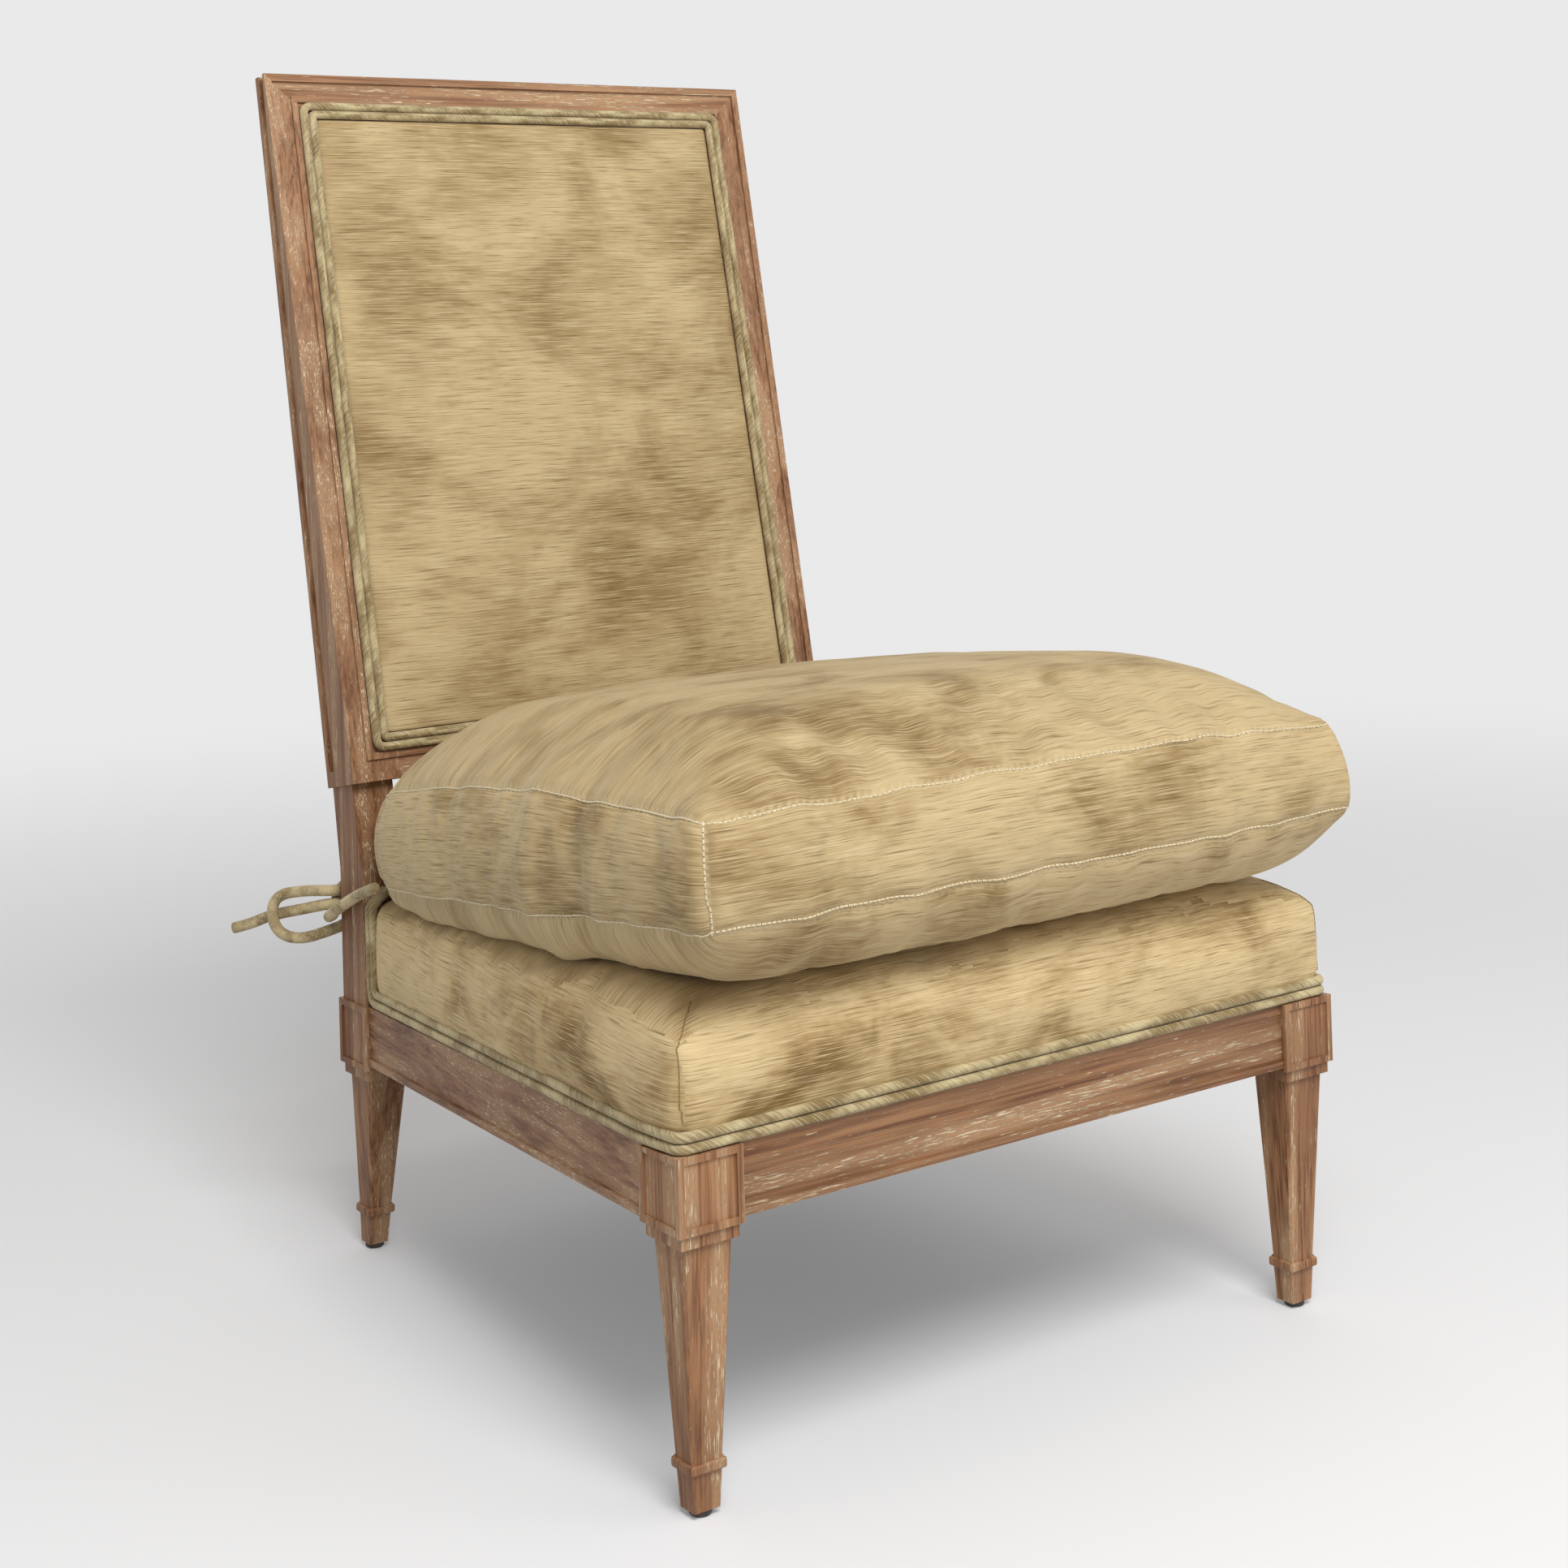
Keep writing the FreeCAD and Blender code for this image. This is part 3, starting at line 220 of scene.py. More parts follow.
# Limed oak
# The show wood of the chair: reddish brown oak whose open pores hold a pale filler, rubbed
# back to a satin surface. The grain runs along each piece.
def stretched(tree, source, size, shift=(0.0, 0.0, 0.0), turn=(0.0, 0.0, 0.0)):
    """Coordinates in which one unit is the given size in metres along each axis."""
    scale = tuple(1.0 / s for s in size)
    turned = add(
        tree, "ShaderNodeMapping", {"Vector": source, "Rotation": turn}, vector_type="TEXTURE"
    )
    made = add(
        tree,
        "ShaderNodeMapping",
        {"Vector": turned.outputs["Vector"], "Location": shift, "Scale": scale},
    )
    return made.outputs["Vector"]


def cloud(tree, vector, detail=2.0, roughness=0.5, distortion=0.0):
    made = add(
        tree,
        "ShaderNodeTexNoise",
        {
            "Vector": vector,
            "Scale": 1.0,
            "Detail": detail,
            "Roughness": roughness,
            "Distortion": distortion,
        },
    )
    return made.outputs["Fac"]


def blended(tree, share, first, second, mode="MIX"):
    """Colour between two colours or colour sockets."""
    made = add(tree, "ShaderNodeMix", data_type="RGBA", blend_type=mode)
    for socket, value in ((made.inputs[0], share), (made.inputs[6], first), (made.inputs[7], second)):
        if isinstance(value, bpy.types.NodeSocket):
            tree.links.new(value, socket)
        else:
            socket.default_value = value if socket.type != "RGBA" else (*value[:3], 1.0)
    return made.outputs[2]


def relief(tree, height, depth, normal=None):
    """Bump of a height from 0 to 1 that stands for a real depth in metres."""
    inputs = {"Height": height, "Distance": depth, "Strength": 1.0}
    if normal is not None:
        inputs["Normal"] = normal
    return add(tree, "ShaderNodeBump", inputs).outputs["Normal"]


def limed_oak(name, turn, shift, painted_light_tone=1.0, filler=1.0):
    material, tree, shader = new_material(name)
    place = add(tree, "ShaderNodeTexCoord").outputs["Object"]
    rings = stretched(tree, place, (0.42, 0.017, 0.017), shift, turn)
    year = cloud(tree, rings, 2.0, 0.55, 1.1)
    fine = cloud(tree, stretched(tree, place, (0.09, 0.0022, 0.0022), shift, turn), 3.0, 0.6)
    pores = cloud(tree, stretched(tree, place, (0.016, 0.00085, 0.00085), shift, turn), 2.0, 0.55)
    ticks = cloud(tree, stretched(tree, place, (0.007, 0.00055, 0.00055), shift, turn), 1.0, 0.5)
    patch = cloud(tree, stretched(tree, place, (0.16, 0.07, 0.07), shift, turn), 2.0, 0.5)
    early = band(tree, year, 0.44, 0.60)
    reach = sums(tree, "MULTIPLY", early, 0.11)
    open_pores = sums(tree, "ADD", pores, reach)
    filled = band(tree, open_pores, 0.665, 0.73, 0.0, 0.9)
    small = band(tree, sums(tree, "ADD", ticks, reach), 0.72, 0.79, 0.0, 0.6)
    filled = sums(tree, "MAXIMUM", filled, small)
    filled = sums(tree, "MULTIPLY", filled, filler)
    # Each piece's copy of the oak is made lighter or darker by its tone for the light that falls on
    # it there: painted light and shade.
    dark = tuple(c * painted_light_tone for c in (0.120, 0.046, 0.018))
    middle = tuple(c * painted_light_tone for c in (0.310, 0.150, 0.066))
    warm = tuple(c * painted_light_tone for c in (0.430, 0.250, 0.130))
    pale = (0.66, 0.52, 0.34)
    wood = blended(tree, band(tree, fine, 0.32, 0.66), dark, middle)
    wood = blended(tree, band(tree, year, 0.36, 0.66, 0.0, 0.75), wood, warm)
    wood = blended(tree, band(tree, patch, 0.38, 0.66, 0.0, 0.35), wood, dark)
    wood = blended(tree, filled, wood, pale)
    hollow = sums(tree, "MULTIPLY", filled, -0.6)
    surface = sums(tree, "ADD", hollow, fine)
    feed(
        tree,
        shader,
        {
            "Base Color": wood,
            "Roughness": band(tree, filled, 0.0, 1.0, 0.46, 0.75),
            "Specular IOR Level": 0.35,
            "Normal": relief(tree, surface, 0.00055),
        },
    )
    return material


def dress(node, material):
    """Give a carried-over node its finish."""
    mesh = nodes[node].data
    mesh.materials.clear()
    mesh.materials.append(material)


quarter = math.pi / 2.0
upright = (0.0, quarter, 0.0)
sideways = (0.0, 0.0, 0.0)
fore_and_aft = (0.0, 0.0, quarter)
leg_turn = {"left": 0.0, "right": 3.1}
# The tones given below make lighter and darker copies of the one oak, with the front legs brightest:
# painted light and shade.
for side, offset in leg_turn.items():
    leg_oak = limed_oak("front_leg_oak_" + side, upright, (offset, 1.7, 0.4), 1.17)
    dress("front_leg_" + side, leg_oak)
    post_oak = limed_oak("rear_leg_oak_" + side, upright, (offset, 5.3, 2.2), 1.04)
    dress("rear_leg_" + side, post_oak)
    rail_oak = limed_oak("side_rail_oak_" + side, fore_and_aft, (2.0, offset, 7.1), 0.98, 0.8)
    dress("side_rail_" + side, rail_oak)
dress("front_rail", limed_oak("front_rail_oak", sideways, (0.3, 4.2, 8.8), 1.0))
dress("rear_rail", limed_oak("rear_rail_oak", sideways, (6.1, 3.3, 1.9), 1.0))
dress("back_top_rail", limed_oak("back_top_rail_oak", sideways, (9.5, 2.7, 5.4), 1.05))
dress("back_bottom_rail", limed_oak("back_bottom_rail_oak", sideways, (4.4, 8.1, 3.6), 1.05))


# Corner braces
# Plain sawn hardwood blocks, glued and screwed behind each leg and left unfinished.
def plain_hardwood(name, shift):
    material, tree, shader = new_material(name)
    place = add(tree, "ShaderNodeTexCoord").outputs["Object"]
    grain = cloud(tree, stretched(tree, place, (0.12, 0.004, 0.004), shift), 3.0, 0.6, 0.6)
    saw = cloud(tree, stretched(tree, place, (0.0016, 0.03, 0.03), shift), 1.0, 0.5)
    colour = blended(tree, band(tree, grain, 0.3, 0.7), (0.36, 0.24, 0.13), (0.54, 0.40, 0.25))
    normal = relief(tree, sums(tree, "ADD", grain, saw), 0.0003)
    feed(tree, shader, {"Base Color": colour, "Roughness": 0.75, "Normal": normal})
    return material


brace_wood = plain_hardwood("brace_hardwood", (1.0, 2.0, 3.0))
for side in ("left", "right"):
    dress("front_brace_" + side, brace_wood)
    dress("rear_brace_" + side, brace_wood)


# Glides and screws
# A hard dark plastic glide driven into each foot, and zinc plated screws in the braces.
def speckled(name, size, detail, colours, roughness, metallic=0.0):
    """Hard smooth finish with small marks in it."""
    material, tree, shader = new_material(name)
    place = add(tree, "ShaderNodeTexCoord").outputs["Object"]
    marks = cloud(tree, stretched(tree, place, (size, size, size)), detail, 0.6)
    feed(
        tree,
        shader,
        {
            "Base Color": blended(tree, band(tree, marks, 0.35, 0.7), *colours),
            "Roughness": band(tree, marks, 0.3, 0.7, *roughness),
            "Metallic": metallic,
        },
    )
    return material


plastic_colours = ((0.025, 0.022, 0.020), (0.07, 0.062, 0.055))
glide_plastic = speckled("glide_plastic", 0.004, 4.0, plastic_colours, (0.4, 0.65))
for end in ("front", "rear"):
    for side in ("left", "right"):
        dress(end + "_glide_" + side, glide_plastic)
zinc_colours = ((0.55, 0.54, 0.50), (0.42, 0.40, 0.36))
zinc = speckled("zinc_plated_steel", 0.003, 3.0, zinc_colours, (0.3, 0.55), 1.0)
dress("brace_screws", zinc)


# Webbing and hessian
# Woven jute straps stretched across the frames, with plain jute cloth laid over them.
def jute(name, thread, dark, light):
    material, tree, shader = new_material(name)
    place = add(tree, "ShaderNodeTexCoord").outputs["Object"]
    warp = cloud(tree, stretched(tree, place, (thread, thread * 8, thread * 8)), 1.0)
    weft = cloud(tree, stretched(tree, place, (thread * 8, thread, thread)), 1.0)
    weave = sums(tree, "MULTIPLY", warp, weft)
    colour = blended(tree, band(tree, weave, 0.12, 0.36), dark, light)
    normal = relief(tree, weave, thread * 0.8)
    feed(tree, shader, {"Base Color": colour, "Roughness": 0.9, "Normal": normal})
    return material


webbing_jute = jute("webbing_jute", 0.0022, (0.20, 0.13, 0.07), (0.48, 0.36, 0.22))
hessian_jute = jute("hessian_jute", 0.0012, (0.26, 0.18, 0.10), (0.56, 0.44, 0.29))
for part in ("seat", "back"):
    dress(part + "_webbing", webbing_jute)
    dress(part + "_hessian", hessian_jute)


# Loose cushion
# A boxed cushion of down and foam: a top and a bottom panel sewn to a band, with a seam at
# each corner of the band. It lies on the seat and its belly hangs over the front edge.
def velvet(name, light_share, patch_size, seed, crushed=1.0, painted_light_tone=1.0):
    """Olive gold velvet with a fine rib. Patches of its crushed pile catch the light."""
    material, tree, shader = new_material(name)
    cloth = add(tree, "ShaderNodeUVMap", uv_map="cloth").outputs["UV"]
    shift = (seed, seed * 1.7, 0.0)
    ribs = cloud(tree, stretched(tree, cloth, (0.030, 0.00072, 1.0), shift), 2.0, 0.6)
    threads = cloud(tree, stretched(tree, cloth, (0.0045, 0.00062, 1.0), shift), 1.0, 0.5)
    slubs = cloud(tree, stretched(tree, cloth, (0.060, 0.0014, 1.0), shift), 3.0, 0.6)
    crush = cloud(
        tree, stretched(tree, cloth, (patch_size, patch_size * 0.75, 1.0), shift), 4.0, 0.56, 0.5
    )
    drift = cloud(tree, stretched(tree, cloth, (0.22, 0.16, 1.0), shift), 2.0, 0.5)
    smear = cloud(tree, stretched(tree, cloth, (0.05, 0.012, 1.0), shift), 3.0, 0.55, 0.3)
    dark = (0.205, 0.125, 0.040)
    middle = (0.385, 0.270, 0.120)
    light = (0.595, 0.460, 0.250)
    pale = (0.72, 0.60, 0.38)
    deep = (0.120, 0.066, 0.018)
    lean = sums(tree, "ADD", crush, sums(tree, "MULTIPLY", drift, 0.45))
    lean = sums(tree, "ADD", lean, sums(tree, "MULTIPLY", smear, 0.22))
    low = 0.64 - 0.1 * light_share
    dark = tuple(d + (m - d) * (1.0 - crushed) for d, m in zip(dark, middle))
    # Each piece's copy of the velvet is made lighter or darker by its tone for the light on that
    # piece: painted light and shade.
    dark, middle, light, pale, deep = (
        (c[0] * painted_light_tone, c[1] * painted_light_tone * 0.97, c[2] * painted_light_tone * 0.93)
        for c in (dark, middle, light, pale, deep)
    )
    patch = band(tree, lean, low - 0.03, low + 0.20)
    colour = blended(tree, patch, dark, middle)
    colour = blended(tree, band(tree, lean, low + 0.10, low + 0.38), colour, light)
    rows = sums(tree, "ADD", sums(tree, "MULTIPLY", ribs, 0.6), sums(tree, "MULTIPLY", slubs, 0.4))
    bright_rows = band(tree, rows, 0.49, 0.62, 0.0, 0.55)
    dark_rows = band(tree, rows, 0.48, 0.36, 0.0, 0.60)
    colour = blended(tree, bright_rows, colour, pale)
    colour = blended(tree, dark_rows, colour, deep)
    seam = add(tree, "ShaderNodeAttribute", attribute_name="seam").outputs["Fac"]
    colour = blended(tree, sums(tree, "MULTIPLY", seam, 0.75), colour, pale)
    nap = relief(tree, crush, 0.0022)
    rows = sums(tree, "ADD", ribs, sums(tree, "MULTIPLY", threads, 0.5))
    feed(
        tree,
        shader,
        {
            "Base Color": colour,
            "Roughness": 0.72,
            "Specular IOR Level": 0.25,
            "Sheen Weight": 0.3,
            "Sheen Roughness": 0.35,
            "Sheen Tint": (0.95, 0.86, 0.62, 1.0),
            "Normal": relief(tree, rows, 0.00028, nap),
        },
    )
    return material


def place_piece(name, points, faces, material, body):
    """New mesh object from points and faces, dressed and riding on a body."""
    mesh = bpy.data.meshes.new(name)
    mesh.from_pydata([tuple(p) for p in points], [], faces)
    mesh.validate()
    made = bpy.data.objects.new(name, mesh)
    scene.collection.objects.link(made)
    mesh.materials.append(material)
    mesh.polygons.foreach_set("use_smooth", [True] * len(mesh.polygons))
    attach(made, body)
    return made


def vertex_array(mesh):
    points = np.empty(len(mesh.vertices) * 3)
    mesh.vertices.foreach_get("co", points)
    return points.reshape(-1, 3)


def vertex_normals(mesh):
    normals = np.empty(len(mesh.vertices) * 3)
    mesh.vertices.foreach_get("normal", normals)
    return normals.reshape(-1, 3)


def set_vertices(mesh, points):
    mesh.vertices.foreach_set("co", points.ravel())
    mesh.update()


def baked(source):
    """Plain mesh of an object with its modifiers applied."""
    bpy.context.view_layer.update()
    graph = bpy.context.evaluated_depsgraph_get()
    return bpy.data.meshes.new_from_object(source.evaluated_get(graph), depsgraph=graph)


def apply_modifiers(source):
    mesh = baked(source)
    source.modifiers.clear()
    source.data = mesh


def subdivided(piece):
    smoother = piece.modifiers.new("subdivision", "SUBSURF")
    smoother.levels = 1
    smoother.render_levels = 1
    apply_modifiers(piece)


def grooved(piece, distance, depth, width):
    """Sink the groove of a seam into a cover, given each vertex's distance from it."""
    mesh = piece.data
    drop = depth * np.exp(-((distance / width) ** 2))
    set_vertices(mesh, vertex_array(mesh) - vertex_normals(mesh) * drop[:, None])


def cloud_at(points, size, seed):
    """Smooth noise from -1 to 1 at each point."""
    shift = Vector((seed, seed * 0.7, seed * 1.3))
    return np.array([noise.noise(Vector(p / size) + shift) for p in points])


def settle(piece, pinned, pressure, cap, spare, frames=20):
    """Cloth simulation that fills a cover with its padding; no point moves past the cap."""
    before = vertex_array(piece.data).copy()
    group = piece.vertex_groups.new(name="held")
    for weight in np.unique(pinned):
        if weight > 0.0:
            chosen = np.nonzero(pinned == weight)[0].tolist()
            group.add(chosen, float(weight), "REPLACE")
    cloth = piece.modifiers.new("cloth", "CLOTH")
    settings = cloth.settings
    settings.quality = 6
    settings.mass = 0.25
    settings.tension_stiffness = 18.0
    settings.compression_stiffness = 12.0
    settings.shear_stiffness = 6.0
    settings.bending_stiffness = 0.35
    settings.tension_damping = 12.0
    settings.air_damping = 3.0
    settings.use_pressure = True
    settings.uniform_pressure_force = pressure
    settings.vertex_group_mass = "held"
    settings.shrink_min = -spare
    settings.effector_weights.gravity = 0.0
    cloth.collision_settings.use_collision = False
    cloth.point_cache.frame_start = 1
    cloth.point_cache.frame_end = frames
    for step in range(1, frames + 1):
        scene.frame_set(step)
    apply_modifiers(piece)
    piece.vertex_groups.clear()
    after = vertex_array(piece.data)
    move = after - before
    length = np.linalg.norm(move, axis=1)
    share = np.minimum(1.0, cap / np.maximum(length, 1e-9))
    set_vertices(piece.data, before + move * share[:, None])
    scene.frame_set(1)


seat_front_y = -0.3046
seat_length = 0.5535
front_half = 0.2725
rear_half = 0.218
block_depth = 0.043
side_run = 0.4675
side_loss = 0.0545
seat_fall = 0.0245
seat_fall_share = seat_fall / (seat_length - block_depth)
rail_top_front = 0.216
deck_edge = 0.063
deck_rise = 0.033
deck_power = 12.0

cushion_overhang = 0.019
cushion_front = seat_front_y - cushion_overhang
cushion_middle_height = 0.3795
cushion_tilt = math.radians(6.95)
cushion_length = 0.506
cushion_front_half = 0.256
cushion_rear_half = 0.203
cushion_corner = 0.013
band_height = 0.062
band_bulge = 0.014
band_low_bulge = 0.008
band_reach = 0.048
crown_height = 0.044
belly_depth = 0.042
crown_bias = 0.08
front_bow = 0.003
side_bow = 0.012
rear_bow = 0.003
seam_bow = 0.014
seam_lift = 0.003
front_seam_bow = 0.004
crown_power = 8.0
belly_power = 14.0
cushion_cell = 0.0058
seam_depth = 0.0026
seam_width = 0.0034
seam_pale = 0.0019

rest_gap = 0.0008
band_rows = 13
fold_seed = 7


def bulge_at(z):
    """How far the band stands out at a height, on a parabola through three values."""
    t = np.clip((z / band_reach + 1.0) / 2.0, 0.0, 1.0)
    curve = 2.0 * (band_low_bulge - 2.0 * band_bulge)
    return band_low_bulge + t * (4.0 * band_bulge - 3.0 * band_low_bulge) + curve * t * t


def cushion_plan(u, v, bulge):
    """Place in the cushion's level plan of shares -1 to 1 across and along it."""
    half_length = cushion_length / 2.0
    half = cushion_front_half + (cushion_rear_half - cushion_front_half) * (v + 1.0) / 2.0
    share = cushion_corner / cushion_front_half
    a = np.clip((np.abs(u) - (1.0 - share)) / share, 0.0, 1.0)
    b = np.clip((np.abs(v) - (1.0 - share)) / share, 0.0, 1.0)
    round_u = np.where(a > 0, 1.0 - share + share * a * np.sqrt(1.0 - b * b / 2.0), np.abs(u))
    round_v = np.where(b > 0, 1.0 - share + share * b * np.sqrt(1.0 - a * a / 2.0), np.abs(v))
    u = np.sign(u) * round_u
    v = np.sign(v) * round_v
    x = u * (half + side_bow * (1.0 - v * v) + bulge)
    ends = np.where(v < 0, front_bow, rear_bow) * (1.0 - u * u)
    y = half_length * (1.0 + v) + v * np.abs(v) * (ends + bulge)
    return x, y


def top_seam(u, v):
    arch = 1.0 - v * v
    lift = seam_lift * (1.0 + v) / 2.0
    return band_height / 2.0 + seam_bow * arch + lift + front_seam_bow * (1.0 - u * u)


def laid(x, y, z):
    """Cushion points turned to their tilt and set down in the chair."""
    cos = math.cos(cushion_tilt)
    sin = math.sin(cushion_tilt)
    return np.stack(
        [x, y * cos + z * sin + cushion_front, z * cos - y * sin + cushion_middle_height],
        axis=-1,
    )


def rail_height_at(y):
    return rail_top_front - seat_fall_share * (y - seat_front_y)


def deck_height(x, y):
    """Height of the upholstered seat under the cushion."""
    depth = y - seat_front_y
    v = np.clip(depth / (seat_length / 2.0) - 1.0, -1.0, 1.0)
    half = front_half - np.clip(depth - block_depth, 0.0, side_run) * (side_loss / side_run)
    u = np.clip(x / half, -1.0, 1.0)
    edge = deck_rise * (1.0 - np.abs(u) ** deck_power) * (1.0 - np.abs(v) ** deck_power)
    return rail_top_front - seat_fall_share * depth + deck_edge + edge


def crown_share(u, v, power):
    return (1.0 - np.abs(u) ** power) * (1.0 - np.abs(v) ** power)


across = int(round(2.0 * cushion_front_half / cushion_cell)) + 1
along = int(round(cushion_length / cushion_cell)) + 1
ease = np.linspace(-1.0, 1.0, across)
climb = np.linspace(-1.0, 1.0, along)
grid_u, grid_v = np.meshgrid(ease, climb, indexing="ij")
bias = 1.0 + crown_bias * grid_v
seam_z = top_seam(grid_u, grid_v)
x, y = cushion_plan(grid_u, grid_v, bulge_at(seam_z))
top_z = seam_z + crown_height * bias * crown_share(grid_u, grid_v, crown_power)
top_points = laid(x, y, top_z)
low_z = np.full_like(grid_u, -band_height / 2.0)
x, y = cushion_plan(grid_u, grid_v, bulge_at(low_z))
bottom_z = low_z - belly_depth * bias * crown_share(grid_u, grid_v, belly_power)
bottom_points = laid(x, y, bottom_z)
rest = deck_height(bottom_points[..., 0], bottom_points[..., 1]) + rest_gap
on_seat = bottom_points[..., 2] < rest
bottom_points[..., 2] = np.maximum(bottom_points[..., 2], rest)

rim = []
for i in range(across):
    rim.append((i, 0))
for j in range(1, along):
    rim.append((across - 1, j))
for i in range(across - 2, -1, -1):
    rim.append((i, along - 1))
for j in range(along - 2, 0, -1):
    rim.append((0, j))
rim_count = len(rim)


def top_index(i, j):
    return i * along + j


points = [tuple(p) for p in top_points.reshape(-1, 3)]
faces = []
bottom_start = len(points)
points += [tuple(p) for p in bottom_points.reshape(-1, 3)]
for i in range(across - 1):
    for j in range(along - 1):
        quad = (top_index(i, j), top_index(i + 1, j), top_index(i + 1, j + 1), top_index(i, j + 1))
        faces.append(quad)
        faces.append(tuple(bottom_start + k for k in reversed(quad)))
band_start = len(points)
for row in range(1, band_rows):
    share = row / band_rows
    for i, j in rim:
        u = grid_u[i, j]
        v = grid_v[i, j]
        z = (1.0 - share) * seam_z[i, j] + share * low_z[i, j]
        bx, by = cushion_plan(np.array(u), np.array(v), bulge_at(np.array(z)))
        points.append(tuple(laid(float(bx), float(by), float(z))))


def band_index(row, k):
    i, j = rim[k % rim_count]
    if row == 0:
        return top_index(i, j)
    if row == band_rows:
        return bottom_start + top_index(i, j)
    return band_start + (row - 1) * rim_count + k % rim_count


for row in range(band_rows):
    for k in range(rim_count):
        faces.append(
            (
                band_index(row, k),
                band_index(row + 1, k),
                band_index(row + 1, k + 1),
                band_index(row, k + 1),
            )
        )

cushion_velvet = velvet("cushion_velvet", 0.7, 0.085, 3.0, 1.05, 0.86)
cushion = place_piece("cushion_cover", points, faces, cushion_velvet, "cushion")
rim_top = np.array([band_index(0, k) for k in range(rim_count)])
rim_bottom = np.array([band_index(band_rows, k) for k in range(rim_count)])
corner_spots = [0, across - 1, across + along - 2, 2 * across + along - 3]
bottom_part = slice(bottom_start, bottom_start + across * along)
resting = np.zeros(len(points), dtype=bool)
resting[bottom_part] = on_seat.ravel()
held = np.where(resting, 1.0, 0.0)
held[rim_top] = 1.0
held[rim_bottom] = 1.0
for spot in corner_spots:
    for row in range(band_rows + 1):
        held[band_index(row, spot)] = 1.0
settle(cushion, held, pressure=3.0, cap=0.005, spare=0.012)


def seam_distance(places, line):
    """Distance to the nearest point of a seam, and that point's number along it."""
    best = np.full(len(places), 1e9)
    where = np.zeros(len(places), dtype=int)
    for k in range(len(line)):
        d = np.linalg.norm(places - line[k], axis=1)
        closer = d < best
        best[closer] = d[closer]
        where[closer] = k
    return best, where


# Folds run from the seams into the panels, and the down makes wide dimples
rng = np.random.default_rng(fold_seed)
pucker = rng.normal(size=rim_count)
pucker = (np.roll(pucker, 1) + pucker * 1.4 + np.roll(pucker, -1)) / 2.2
long_pucker = rng.normal(size=rim_count)
for _ in range(3):
    long_pucker = (np.roll(long_pucker, 1) + long_pucker + np.roll(long_pucker, -1)) / 2.2
mesh = cushion.data
flat = vertex_array(mesh)
shift = np.zeros(len(flat))
for line in (rim_top, rim_bottom):
    distance, where = seam_distance(flat, flat[line])
    near = np.exp(-((distance / 0.013) ** 2))
    wide = np.exp(-((distance / 0.045) ** 2))
    shift += 0.0008 * near * pucker[where] + 0.0013 * wide * long_pucker[where]
dimple = cloud_at(flat, 0.085, 11.0) * 0.0022 + cloud_at(flat, 0.035, 5.0) * 0.0007
shift = np.where(resting, 0.0, shift + dimple)
set_vertices(mesh, flat + vertex_normals(mesh) * shift[:, None])

# The velvet's rib runs across each panel and along the band
run = np.concatenate([[0.0], np.cumsum(np.linalg.norm(np.diff(flat[rim_top], axis=0), axis=1))])
run = np.append(run, run[-1] + cushion_cell)
panel_faces = 2 * (across - 1) * (along - 1)
uv = []
for polygon in mesh.polygons:
    if polygon.index < panel_faces:
        for v in polygon.vertices:
            uv.append((flat[v][0], flat[v][1]))
    else:
        row, k = divmod(polygon.index - panel_faces, rim_count)
        drop = (row * band_height / band_rows, (row + 1) * band_height / band_rows)
        uv += [(run[k], drop[0]), (run[k], drop[1]), (run[k + 1], drop[1]), (run[k + 1], drop[0])]
layer = mesh.uv_layers.new(name="cloth")
layer.data.foreach_set("uv", np.array(uv).ravel())

# Each seam draws the velvet into a groove and parts its pile, so its paler ground shows
folded = vertex_array(mesh)
seams = [folded[rim_top], folded[rim_bottom]]
for spot in corner_spots:
    seams.append(folded[[band_index(row, spot) for row in range(band_rows + 1)]])
subdivided(cushion)
fine = vertex_array(cushion.data)
nearest = np.full(len(fine), 1.0)
for line in seams:
    nearest = np.minimum(nearest, seam_distance(fine, line)[0])
grooved(cushion, nearest, seam_depth, seam_width)
parted = cushion.data.attributes.new("seam", "FLOAT", "POINT")
parted.data.foreach_set("value", np.exp(-((nearest / seam_pale) ** 2)))
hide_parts("cushion_case", "cushion_filling")


# Cushion stitching
# The seams are sewn from inside; their pale thread shows as short stitches in the groove.
def stitch_tree(name, material):
    """Geometry nodes that lay short stitches end to end along a curve."""
    tree = bpy.data.node_groups.new(name, "GeometryNodeTree")
    face = tree.interface
    face.new_socket("Geometry", in_out="INPUT", socket_type="NodeSocketGeometry")
    for label in ("Pitch", "Length", "Radius"):
        face.new_socket(label, in_out="INPUT", socket_type="NodeSocketFloat")
    face.new_socket("Geometry", in_out="OUTPUT", socket_type="NodeSocketGeometry")
    start = add(tree, "NodeGroupInput")
    sampled = add(
        tree,
        "GeometryNodeResampleCurve",
        {"Curve": start.outputs["Geometry"], "Length": start.outputs["Pitch"]},
        mode="LENGTH",
    )
    tangent = add(tree, "GeometryNodeInputTangent")
    facing = add(
        tree, "FunctionNodeAlignEulerToVector", {"Vector": tangent.outputs["Tangent"]}, axis="Z"
    )
    thread = add(
        tree,
        "GeometryNodeMeshCylinder",
        {
            "Vertices": 6,
            "Side Segments": 1,
            "Radius": start.outputs["Radius"],
            "Depth": start.outputs["Length"],
        },
        fill_type="TRIANGLE_FAN",
    )
    spread = add(
        tree,
        "GeometryNodeInstanceOnPoints",
        {
            "Points": sampled.outputs["Curve"],
            "Instance": thread.outputs["Mesh"],
            "Rotation": facing.outputs["Rotation"],
        },
    )
    real = add(tree, "GeometryNodeRealizeInstances", {"Geometry": spread.outputs["Instances"]})
    finish = add(
        tree,
        "GeometryNodeSetMaterial",
        {"Geometry": real.outputs["Geometry"], "Material": material},
    )
    end = add(tree, "NodeGroupOutput")
    tree.links.new(finish.outputs["Geometry"], end.inputs["Geometry"])
    return tree


